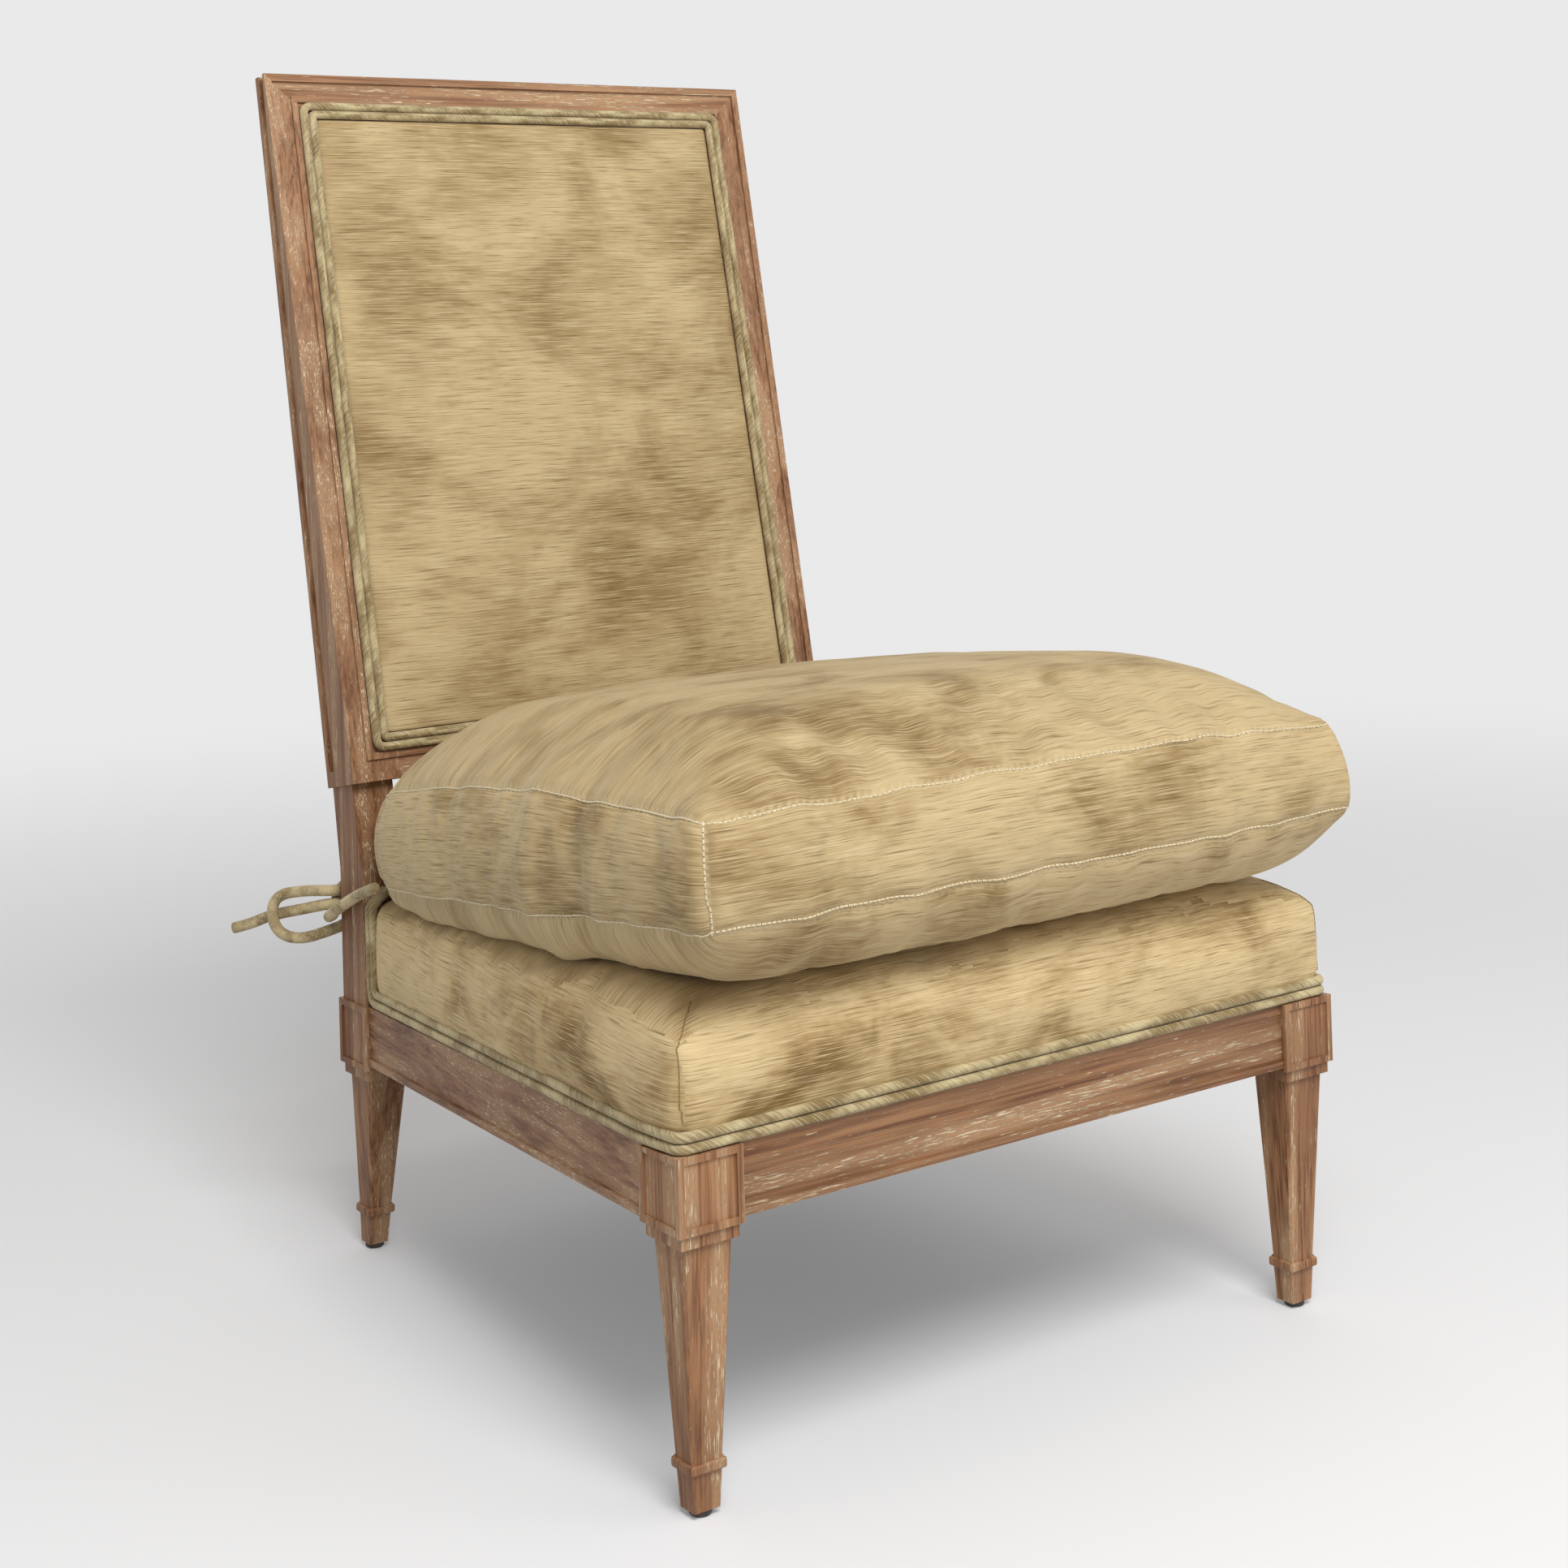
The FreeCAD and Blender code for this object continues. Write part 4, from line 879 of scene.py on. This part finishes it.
def line_object(name, lines, closed):
    """Curve along one or more lines, for nodes to work on."""
    data = bpy.data.curves.new(name, "CURVE")
    data.dimensions = "3D"
    for line in lines:
        spline = data.splines.new("POLY")
        spline.points.add(len(line) - 1)
        for spot, p in zip(spline.points, line):
            spot.co = (*p, 1.0)
        spline.use_cyclic_u = closed
    made = bpy.data.objects.new(name, data)
    scene.collection.objects.link(made)
    return made


def worked(source, tree, values, name, body):
    """The result of a node tree on a line, as a plain mesh object riding on a body."""
    modifier = source.modifiers.new("nodes", "NODES")
    modifier.node_group = tree
    for item in tree.interface.items_tree:
        if item.in_out == "INPUT" and item.name in values:
            modifier[item.identifier] = values[item.name]
    mesh = baked(source)
    made = bpy.data.objects.new(name, mesh)
    scene.collection.objects.link(made)
    bpy.data.objects.remove(source)
    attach(made, body)
    return made


# A thread finish: it gives the cushion's pale thread, and the dark stitches that are painted shade
# along the seat's corner seams.
def thread_and_shadow_material(name, colours, roughness, sheen=0.0):
    material, tree, shader = new_material(name)
    place = add(tree, "ShaderNodeTexCoord").outputs["Object"]
    twist = cloud(tree, stretched(tree, place, (0.0009, 0.0009, 0.0009)), 2.0)
    colour = blended(tree, band(tree, twist, 0.3, 0.7), *colours)
    feed(tree, shader, {"Base Color": colour, "Roughness": roughness, "Sheen Weight": sheen})
    return material


def nearest_on(piece, line, out):
    """Move a line onto a finished cover, standing out a little."""
    bpy.context.view_layer.update()
    moved = []
    for p in line:
        found, spot, normal, _ = piece.closest_point_on_mesh(Vector(p))
        moved.append(spot + normal * out if found else Vector(p))
    return moved


thread_and_shadow_colours = ((0.52, 0.42, 0.24), (0.80, 0.71, 0.50))
pale_thread = thread_and_shadow_material("pale_thread", thread_and_shadow_colours, 0.8, 0.3)
seam_stitches = stitch_tree("seam_stitches", pale_thread)
seam_thread_size = {"Pitch": 0.0034, "Length": 0.0027, "Radius": 0.0006}
seam_stand = 0.0005
for name, lines, closed in (("seam", seams[:2], True), ("corner", seams[2:], False)):
    drawn = [nearest_on(cushion, line, seam_stand) for line in lines]
    source = line_object(name + "_lines", drawn, closed)
    made_name = "cushion_" + name + "_stitches"
    worked(source, seam_stitches, seam_thread_size, made_name, "cushion")


# Seat cover
# The tight seat: velvet drawn over a firm pad and tacked to the rails, with a plain seam
# up each front corner. It is notched round the rear posts.
def cloth_uv(mesh):
    """UV in metres: u along the rib and v across it, chosen by the way each face looks."""
    layer = mesh.uv_layers.get("cloth") or mesh.uv_layers.new(name="cloth")
    points = np.empty(len(mesh.vertices) * 3)
    mesh.vertices.foreach_get("co", points)
    points = points.reshape(-1, 3)
    corner_vertex = np.empty(len(mesh.loops), dtype=int)
    mesh.loops.foreach_get("vertex_index", corner_vertex)
    normals = np.empty(len(mesh.polygons) * 3)
    mesh.polygons.foreach_get("normal", normals)
    normals = np.abs(normals.reshape(-1, 3))
    counts = np.empty(len(mesh.polygons), dtype=int)
    mesh.polygons.foreach_get("loop_total", counts)
    face = np.repeat(np.arange(len(counts)), counts)
    p = points[corner_vertex]
    n = normals[face]
    side = (n[:, 0] > n[:, 1]) & (n[:, 0] > n[:, 2])
    top = (n[:, 2] >= n[:, 0]) & (n[:, 2] > n[:, 1] * 1.1)
    u = np.where(side, p[:, 1], p[:, 0])
    v = np.where(top, p[:, 1], p[:, 2])
    uv = np.stack([u, v], axis=1)
    layer.data.foreach_set("uv", uv.ravel())


def swollen_copy(node, name, voxel, grow):
    """Remeshed copy of a solid node, grown by a cloth thickness."""
    source = nodes[node]
    mesh = source.data.copy()
    made = bpy.data.objects.new(name, mesh)
    scene.collection.objects.link(made)
    work = bmesh.new()
    work.from_mesh(mesh)
    bmesh.ops.remove_doubles(work, verts=work.verts, dist=1e-5)
    bmesh.ops.recalc_face_normals(work, faces=work.faces)
    work.to_mesh(mesh)
    work.free()
    remesh = made.modifiers.new("remesh", "REMESH")
    remesh.mode = "VOXEL"
    remesh.voxel_size = voxel
    apply_modifiers(made)
    soften = made.modifiers.new("soften", "SMOOTH")
    soften.factor = 0.5
    soften.iterations = 3
    apply_modifiers(made)
    mesh = made.data
    set_vertices(mesh, vertex_array(mesh) + vertex_normals(mesh) * grow)
    mesh.materials.clear()
    mesh.polygons.foreach_set("use_smooth", [True] * len(mesh.polygons))
    return made


seat_voxel = 0.006
seat_cloth = 0.0022
tacked_below = 0.018
flat_above = 0.088
corner_seam = (0.2690, -0.3010)
corner_edge = 0.2720

seat_cover = swollen_copy("seat_pad", "seat_velvet_cover", seat_voxel, seat_cloth)
# The seat's velvet is a lighter copy than the other pieces', against the shade the loose cushion
# casts on it: painted light.
seat_cover.data.materials.append(velvet("seat_velvet", 0.6, 0.075, 9.0, 1.2, 1.06))
flat = vertex_array(seat_cover.data)
above = flat[:, 2] - rail_height_at(flat[:, 1])
held = np.zeros(len(flat))
held[above < tacked_below] = 1.0
held[above > flat_above] = 1.0
settle(seat_cover, held, pressure=1.6, cap=0.004, spare=0.006)
mesh = seat_cover.data
flat = vertex_array(mesh)
above = flat[:, 2] - rail_height_at(flat[:, 1])
shift = cloud_at(flat, 0.07, 2.0) * 0.0012
shift = np.where(above < 0.02, np.minimum(shift, 0.0), shift)
set_vertices(mesh, flat + vertex_normals(mesh) * shift[:, None])
subdivided(seat_cover)
fine = vertex_array(seat_cover.data)
edge = np.hypot(np.abs(fine[:, 0]) - corner_seam[0], fine[:, 1] - corner_seam[1])
grooved(seat_cover, edge, 0.0024, 0.0036)
cloth_uv(seat_cover.data)
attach(seat_cover, "root")
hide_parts("seat_cover", "seat_pad")

# Dark stitches up each front corner seam paint the shade in the seam's crease; these thread colours
# are painted shade.
thread_and_shadow_colours = ((0.15, 0.09, 0.03), (0.34, 0.25, 0.12))
seat_shadow_stitches = stitch_tree(
    "seat_seam_shadow_stitches", thread_and_shadow_material("seat_seam_shadow_thread", thread_and_shadow_colours, 0.85)
)
corner_lines = []
for side in (-1.0, 1.0):
    line = [(side * corner_edge, -0.3040, z) for z in np.linspace(0.234, 0.300, 24)]
    for x in np.linspace(0.270, 0.245, 10):
        line.append((side * x, -0.3040 + (corner_edge - x), 0.3120))
    corner_lines.append(nearest_on(seat_cover, line, 0.0002))
corner_source = line_object("seat_corner_seams", corner_lines, False)
seat_shadow_thread_size = {"Pitch": 0.0030, "Length": 0.0028, "Radius": 0.0004}
worked(
    corner_source, seat_shadow_stitches, seat_shadow_thread_size, "seat_corner_shadow_stitches", "root"
)


# Inside back
# Velvet over a thin pad, crowned in the middle, drawn in behind the double welt.
back_foot = Vector((0.0, seat_front_y + 0.518, 0.3578))
back_rake = math.radians(11.57)
cover_low, cover_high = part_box("back_cover")
pad_half = (cover_high.x - cover_low.x) / 2.0
pad_low = 0.0347
pad_high = 0.5193
pad_edge = 0.0005
pad_crown = 0.010
pad_power = 5.0


def raked(x, y, z):
    """Points of the upright back turned to its rake and set on the seat frame."""
    cos = math.cos(back_rake)
    sin = math.sin(back_rake)
    return np.stack(
        [x, y * cos + z * sin + back_foot.y, z * cos - y * sin + back_foot.z], axis=-1
    )


def two_sided(front, rear, flipped=False):
    """Points and faces of a closed piece between two grids of points."""

    def turned(face):
        return (face[0], *face[:0:-1]) if flipped else face

    across, along = front.shape[:2]
    points = [tuple(p) for p in front.reshape(-1, 3)]
    count = len(points)
    points += [tuple(p) for p in rear.reshape(-1, 3)]
    faces = []
    for i in range(across - 1):
        for j in range(along - 1):
            a = i * along + j
            quad = turned((a, a + along, a + along + 1, a + 1))
            faces.append(quad)
            faces.append(tuple(count + k for k in reversed(quad)))
    for i in range(across - 1):
        for j in (0, along - 1):
            a = i * along + j
            side = turned((a, count + a, count + a + along, a + along))
            faces.append(side if j == 0 else tuple(reversed(side)))
    for j in range(along - 1):
        for i in (0, across - 1):
            a = i * along + j
            side = turned((a, a + 1, count + a + 1, count + a))
            faces.append(side if i == 0 else tuple(reversed(side)))
    return points, faces


back_cell = 0.005
across = int(round(2.0 * pad_half / back_cell)) + 1
along = int(round((pad_high - pad_low) / back_cell)) + 1
ease = np.linspace(-1.0, 1.0, across)
climb = np.linspace(-1.0, 1.0, along)
u, v = np.meshgrid(ease, climb, indexing="ij")
x = u * pad_half
z = (pad_low + pad_high) / 2.0 + v * (pad_high - pad_low) / 2.0
y = -(pad_edge + pad_crown * crown_share(u, v, pad_power))
front = raked(x, y, z)
sag = cloud_at(front.reshape(-1, 3), 0.12, 21.0).reshape(x.shape) * 0.0016
fine_sag = cloud_at(front.reshape(-1, 3), 0.03, 8.0).reshape(x.shape) * 0.0004
inner = crown_share(u, v, 20.0)
front = raked(x, y + (sag + fine_sag) * inner, z)
rear = raked(x, np.full_like(x, 0.0015), z)
points, faces = two_sided(front, rear)
back_velvet = velvet("back_velvet", 0.5, 0.12, 15.0, 0.7, 0.82)
inside_back = place_piece("inside_back_cover", points, faces, back_velvet, "root")
subdivided(inside_back)
cloth_uv(inside_back.data)
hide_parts("back_cover", "back_pad")


# Outside back
# A flat velvet panel slip-stitched into the rebate at the rear, over a thin lining.
rear_edge = 0.013
stile_low_half = 0.2182
stile_high_half = 0.2257
stile_spread = 0.0075
frame_low_half = stile_low_half - rear_edge
frame_high_half = stile_high_half - rear_edge
foot_depth = 0.045
head_depth = 0.016
back_length = 0.556
rear_rebate = 0.0026
rear_border = 0.0133
cloth_stand = 0.0016
across = 60
along = 76
u, v = np.meshgrid(np.linspace(-1, 1, across), np.linspace(0, 1, along), indexing="ij")
z = rear_border + v * (back_length - 2.0 * rear_border)
share = z / back_length
half = frame_low_half + (frame_high_half - frame_low_half) * share - 0.0003
depth = foot_depth + (head_depth - foot_depth) * share - rear_rebate
swell = 0.0012 * crown_share(u, 2.0 * v - 1.0, 3.0)
outer = raked(u * half, depth + cloth_stand + swell, z)
inner = raked(u * half, depth + 0.0002, z)
points, faces = two_sided(outer, inner, True)
outside_velvet = velvet("outside_velvet", 0.45, 0.12, 27.0, 0.7, 0.84)
outside_back = place_piece("outside_back_cover", points, faces, outside_velvet, "root")
cloth_uv(outside_back.data)
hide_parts("outside_back")


# Welts
# Cotton cord covered with bias-cut strips of the velvet: two side by side round the foot
# of the seat and round the inside back, and one round the outside back.
def welt_velvet(name):
    material, tree, shader = new_material(name)
    cloth = add(tree, "ShaderNodeUVMap", uv_map="cloth").outputs["UV"]
    bias = (0.0, 0.0, math.pi / 4.0)
    ribs = cloud(tree, stretched(tree, cloth, (0.02, 0.0011, 1.0), (0, 0, 0), bias), 2.0, 0.6)
    crush = cloud(tree, stretched(tree, cloth, (0.035, 0.02, 1.0)), 3.0, 0.55)
    dark = (0.225, 0.155, 0.062)
    light = (0.52, 0.43, 0.24)
    colour = blended(tree, band(tree, crush, 0.38, 0.66), dark, light)
    colour = blended(tree, band(tree, ribs, 0.50, 0.68, 0.0, 0.5), colour, (0.66, 0.57, 0.37))
    colour = blended(tree, band(tree, ribs, 0.46, 0.32, 0.0, 0.5), colour, (0.13, 0.08, 0.025))
    feed(
        tree,
        shader,
        {
            "Base Color": colour,
            "Roughness": 0.75,
            "Specular IOR Level": 0.25,
            "Sheen Weight": 0.4,
            "Sheen Tint": (0.95, 0.87, 0.65, 1.0),
            "Normal": relief(tree, ribs, 0.0006),
        },
    )
    return material


def rounded_path(corners, radii, closed, step):
    """Points along straight runs with rounded corners, no further apart than the step."""
    corners = [np.array(c, float) for c in corners]
    count = len(corners)
    line = []
    for i in range(count):
        here = corners[i]
        if not closed and i in (0, count - 1):
            line.append(here)
            continue
        a = corners[i - 1] - here
        b = corners[(i + 1) % count] - here
        length_a = np.linalg.norm(a)
        length_b = np.linalg.norm(b)
        a = a / length_a
        b = b / length_b
        half_turn = (math.pi - math.acos(np.clip(np.dot(a, b), -1.0, 1.0))) / 2.0
        cut = min(radii[i] * math.tan(half_turn), 0.48 * min(length_a, length_b))
        first = here + a * cut
        last = here + b * cut
        for t in np.linspace(0.0, 1.0, 7):
            line.append((1 - t) ** 2 * first + 2 * t * (1 - t) * here + t * t * last)
    full = []
    pairs = list(zip(line, line[1:] + ([line[0]] if closed else [])))
    for a, b in pairs if closed else pairs[: len(line) - 1]:
        pieces = max(1, int(math.ceil(np.linalg.norm(b - a) / step)))
        for k in range(pieces):
            full.append(a + (b - a) * k / pieces)
    if not closed:
        full.append(line[-1])
    return np.array(full)


def tube_mesh(lines, radius, closed, sides=10, wander=0.0, seed=1.0):
    """Round tubes along lines, with UV in metres along and round them."""
    points = []
    faces = []
    uv = []
    for line in lines:
        count = len(line)
        start = len(points)
        after = np.roll(line, -1, axis=0) - line
        before = line - np.roll(line, 1, axis=0)
        tangent = after + before
        if not closed:
            tangent[0] = after[0]
            tangent[-1] = before[-1]
        tangent /= np.linalg.norm(tangent, axis=1)[:, None]
        guide = np.array([0.0, 0.0, 1.0])
        if abs(tangent[0] @ guide) > 0.8:
            guide = np.array([1.0, 0.0, 0.0])
        side = np.cross(tangent[0], guide)
        side /= np.linalg.norm(side)
        run = 0.0
        runs = []
        bumps = cloud_at(line, 0.02, seed) * wander
        for k in range(count):
            side = side - tangent[k] * (side @ tangent[k])
            side /= np.linalg.norm(side)
            other = np.cross(tangent[k], side)
            runs.append(run)
            following = line[(k + 1) % count]
            run += float(np.linalg.norm(following - line[k]))
            for s in range(sides):
                angle = 2.0 * math.pi * s / sides
                reach = radius + bumps[k] * math.cos(angle + k * 0.07)
                points.append(line[k] + (side * math.cos(angle) + other * math.sin(angle)) * reach)
        runs.append(run)
        girth = 2.0 * math.pi * radius
        for k in range(count if closed else count - 1):
            for s in range(sides):
                a = start + k * sides + s
                b = start + k * sides + (s + 1) % sides
                c = start + ((k + 1) % count) * sides + (s + 1) % sides
                d = start + ((k + 1) % count) * sides + s
                faces.append((a, b, c, d))
                v0 = girth * s / sides
                v1 = girth * (s + 1) / sides
                uv += [(runs[k], v0), (runs[k], v1), (runs[k + 1], v1), (runs[k + 1], v0)]
        if not closed:
            faces.append(tuple(start + s for s in reversed(range(sides))))
            uv += [(0.0, 0.0)] * sides
            last = start + (count - 1) * sides
            faces.append(tuple(last + s for s in range(sides)))
            uv += [(run, 0.0)] * sides
    return points, faces, uv


def welt_piece(name, lines, radius, closed, material, replaced):
    points, faces, uv = tube_mesh(lines, radius, closed, wander=0.00022, seed=len(name))
    made = place_piece(name, points, faces, material, "root")
    layer = made.data.uv_layers.new(name="cloth")
    layer.data.foreach_set("uv", np.array(uv).ravel())
    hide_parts(replaced)


welt_radius = 0.0033
welt_pitch = 0.0068
welt_gap = 0.0003
welt_inset = 0.0004
post_front = seat_front_y + seat_length - block_depth + 0.003
post_outer = rear_half - 0.0024
welt_turn_in = 0.014
rear_block_width = 0.0425
welt_step = 0.004


welt_finish = welt_velvet("welt_velvet")
seat_lines = []
for k in range(2):
    lift = welt_radius + welt_gap + k * welt_pitch
    up_y = post_front - welt_radius - welt_gap - k * welt_pitch
    up_x = -post_outer + welt_radius + welt_gap
    in_x = up_x + welt_turn_in
    inset = welt_inset + welt_radius
    front_y = seat_front_y + inset
    turn_y = seat_front_y + block_depth
    crest = float(deck_height(np.array(up_x), np.array(up_y))) + welt_radius
    inner_crest = float(deck_height(np.array(in_x), np.array(up_y))) + welt_radius + 2 * welt_gap
    half = [
        (in_x, up_y, inner_crest),
        (up_x, up_y, crest),
        (up_x, up_y, rail_height_at(up_y) + lift),
        (inset - front_half, turn_y, rail_height_at(turn_y) + lift),
        (inset - front_half, front_y, rail_height_at(front_y) + lift),
    ]
    other = [(-p[0], p[1], p[2]) for p in reversed(half)]
    bend = welt_radius * 1.3 + (1 - k) * welt_pitch
    radii = [0.0, welt_radius * 1.6, bend, 0.06, 0.007]
    seat_lines.append(rounded_path(half + other, radii + radii[::-1], False, welt_step))
rear_end = rear_half - rear_block_width - welt_gap
for k in range(2):
    y = seat_front_y + seat_length - welt_inset - welt_radius
    z = rail_height_at(y) + welt_radius + welt_gap + k * welt_pitch
    ends = [(-rear_end, y, z), (rear_end, y, z)]
    seat_lines.append(rounded_path(ends, [0.0, 0.0], False, welt_step))
welt_piece("seat_double_welt", seat_lines, welt_radius, False, welt_finish, "seat_welt")

bead_half = 0.2045
bead_low = 0.016
bead_high = 0.538
bead_width = 0.005
field_recess = 0.002
back_lines = []
for k in range(2):
    inset = bead_width + welt_gap + welt_radius + k * welt_pitch
    a = bead_half - inset
    r = 0.007 - k * welt_pitch * 0.6
    y = field_recess - welt_radius - welt_gap
    corners = [
        raked(side * a, y, z)
        for side, z in (
            (-1, bead_low + inset),
            (1, bead_low + inset),
            (1, bead_high - inset),
            (-1, bead_high - inset),
        )
    ]
    back_lines.append(rounded_path(corners, [r] * 4, True, welt_step))
welt_piece("back_double_welt", back_lines, welt_radius, True, welt_finish, "back_welt")

outer_radius = welt_radius * 0.8
outer_inset = rear_edge + outer_radius + 2 * welt_gap
corners = []
outer_top = back_length - outer_inset
for side, z in ((1, outer_inset), (1, outer_top), (-1, outer_top), (-1, outer_inset)):
    share = z / back_length
    half = stile_low_half + stile_spread * share - outer_inset
    y = foot_depth + (head_depth - foot_depth) * share - rear_rebate + cloth_stand + outer_radius
    corners.append(raked(side * half, y + 0.0001, z))
outer_line = rounded_path(corners, [0.007] * 4, True, welt_step)
welt_piece(
    "outside_back_single_welt", [outer_line], outer_radius, True, welt_finish, "outside_back_welt"
)


# Ties
# Narrow tubes of the velvet sewn into the cushion's rear corners. Each goes round the rear
# post and is tied there in one loop, and its end hangs free.
tie_radius = 0.0043
tie_band_route = [
    (-0.2230, 0.4780, 0.2870),
    (-0.2210, 0.5000, 0.2805),
    (-0.2212, 0.5280, 0.2685),
    (-0.2252, 0.5584, 0.2512),
    (-0.2102, 0.5700, 0.2512),
    (-0.2090, 0.5710, 0.2700),
    (-0.1920, 0.5572, 0.2815),
    (-0.1766, 0.5572, 0.2820),
    (-0.1766, 0.5340, 0.2840),
    (-0.1766, 0.5090, 0.2870),
    (-0.1860, 0.4995, 0.2890),
]
tie_bow_route = [
    (-0.2020, 0.5565, 0.2710),
    (-0.2160, 0.5590, 0.2710),
    (-0.2330, 0.5795, 0.2705),
    (-0.2470, 0.5980, 0.2660),
    (-0.2500, 0.6020, 0.2510),
    (-0.2460, 0.5970, 0.2365),
    (-0.2350, 0.5830, 0.2325),
    (-0.2200, 0.5630, 0.2405),
    (-0.2070, 0.5568, 0.2455),
    (-0.2000, 0.5570, 0.2560),
    (-0.2140, 0.5595, 0.2620),
    (-0.2310, 0.5815, 0.2560),
    (-0.2480, 0.6100, 0.2485),
    (-0.2580, 0.6220, 0.2415),
    (-0.2670, 0.6330, 0.2380),
]


def tie_velvet(name):
    material, tree, shader = new_material(name)
    place = add(tree, "ShaderNodeTexCoord").outputs["Object"]
    ribs = cloud(tree, stretched(tree, place, (0.012, 0.0012, 0.0012), turn=(0.3, 0.2, 0.9)), 2.0)
    crush = cloud(tree, stretched(tree, place, (0.018, 0.018, 0.018)), 3.0)
    colour = blended(tree, band(tree, crush, 0.36, 0.66), (0.20, 0.135, 0.052), (0.50, 0.40, 0.22))
    colour = blended(tree, band(tree, ribs, 0.5, 0.7, 0.0, 0.5), colour, (0.62, 0.53, 0.33))
    feed(
        tree,
        shader,
        {
            "Base Color": colour,
            "Roughness": 0.75,
            "Sheen Weight": 0.4,
            "Sheen Tint": (0.95, 0.87, 0.65, 1.0),
            "Normal": relief(tree, ribs, 0.0006),
        },
    )
    return material


tie_finish = tie_velvet("tie_velvet")
for side, sign in (("left", 1.0), ("right", -1.0)):
    for part, route in (("band", tie_band_route), ("bow", tie_bow_route)):
        name = "tie_" + part + "_" + side
        data = bpy.data.curves.new(name + "_cloth", "CURVE")
        data.dimensions = "3D"
        data.bevel_depth = tie_radius
        data.bevel_resolution = 4
        data.resolution_u = 10
        data.use_fill_caps = True
        spline = data.splines.new("NURBS")
        spline.points.add(len(route) - 1)
        for spot, p in zip(spline.points, route):
            spot.co = (sign * p[0], seat_front_y + p[1], p[2], 1.0)
        spline.order_u = 3
        spline.use_endpoint_u = True
        data.materials.append(tie_finish)
        tie = bpy.data.objects.new(name + "_cloth", data)
        scene.collection.objects.link(tie)
        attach(tie, "root")
        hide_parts(name)


# Dust cover and its tacks
# A sheet of black cambric tacked up under the rails to close the seat from below. It is
# notched round the leg blocks and sags a little.
lining, tree, shader = new_material("black_cambric")
place = add(tree, "ShaderNodeTexCoord").outputs["Object"]
warp = cloud(tree, stretched(tree, place, (0.0008, 0.006, 0.006)), 1.0)
weft = cloud(tree, stretched(tree, place, (0.006, 0.0008, 0.006)), 1.0)
weave = sums(tree, "ADD", warp, weft)
colour = blended(tree, band(tree, weave, 0.8, 1.2), (0.012, 0.012, 0.012), (0.035, 0.034, 0.033))
feed(
    tree, shader, {"Base Color": colour, "Roughness": 0.85, "Normal": relief(tree, weave, 0.0004)}
)
dress("lining_tacks", zinc)

lining_edge = 0.009
leg_gap = 0.001
notch_step = 0.0003
lining_drop = 0.0436
lining_sag = 0.005
lining_thickness = 0.0006
lining_columns = 56
front_block_width = 0.046
front_notch = front_half - front_block_width - leg_gap
rear_notch = rear_half - rear_block_width - leg_gap
front_turn = block_depth + leg_gap
rear_turn = seat_length - block_depth - leg_gap
rows = []
for y in np.linspace(lining_edge, front_turn - notch_step, 6):
    rows.append((y, front_notch))
for y in np.linspace(front_turn, rear_turn, 48):
    rows.append((y, front_half - (y - block_depth) * (side_loss / side_run) - lining_edge))
for y in np.linspace(rear_turn + notch_step, seat_length - lining_edge, 6):
    rows.append((y, rear_notch))
depth, half = np.array(rows).T
ease, depth = np.meshgrid(np.linspace(-1.0, 1.0, lining_columns), depth, indexing="ij")
climb = 2.0 * depth / seat_length - 1.0
sag = lining_sag * np.clip(1.0 - ease**2, 0.0, 1.0) * np.clip(1.0 - climb**2, 0.0, 1.0)
y = depth + seat_front_y
z = rail_height_at(y) - lining_drop - sag
lower = np.stack([ease * half, y, z], axis=-1)
upper = np.stack([ease * half, y, z + lining_thickness], axis=-1)
points, faces = two_sided(lower, upper, True)
dust_sheet = place_piece("dust_cover_sheet", points, faces, lining, "root")
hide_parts("dust_cover")
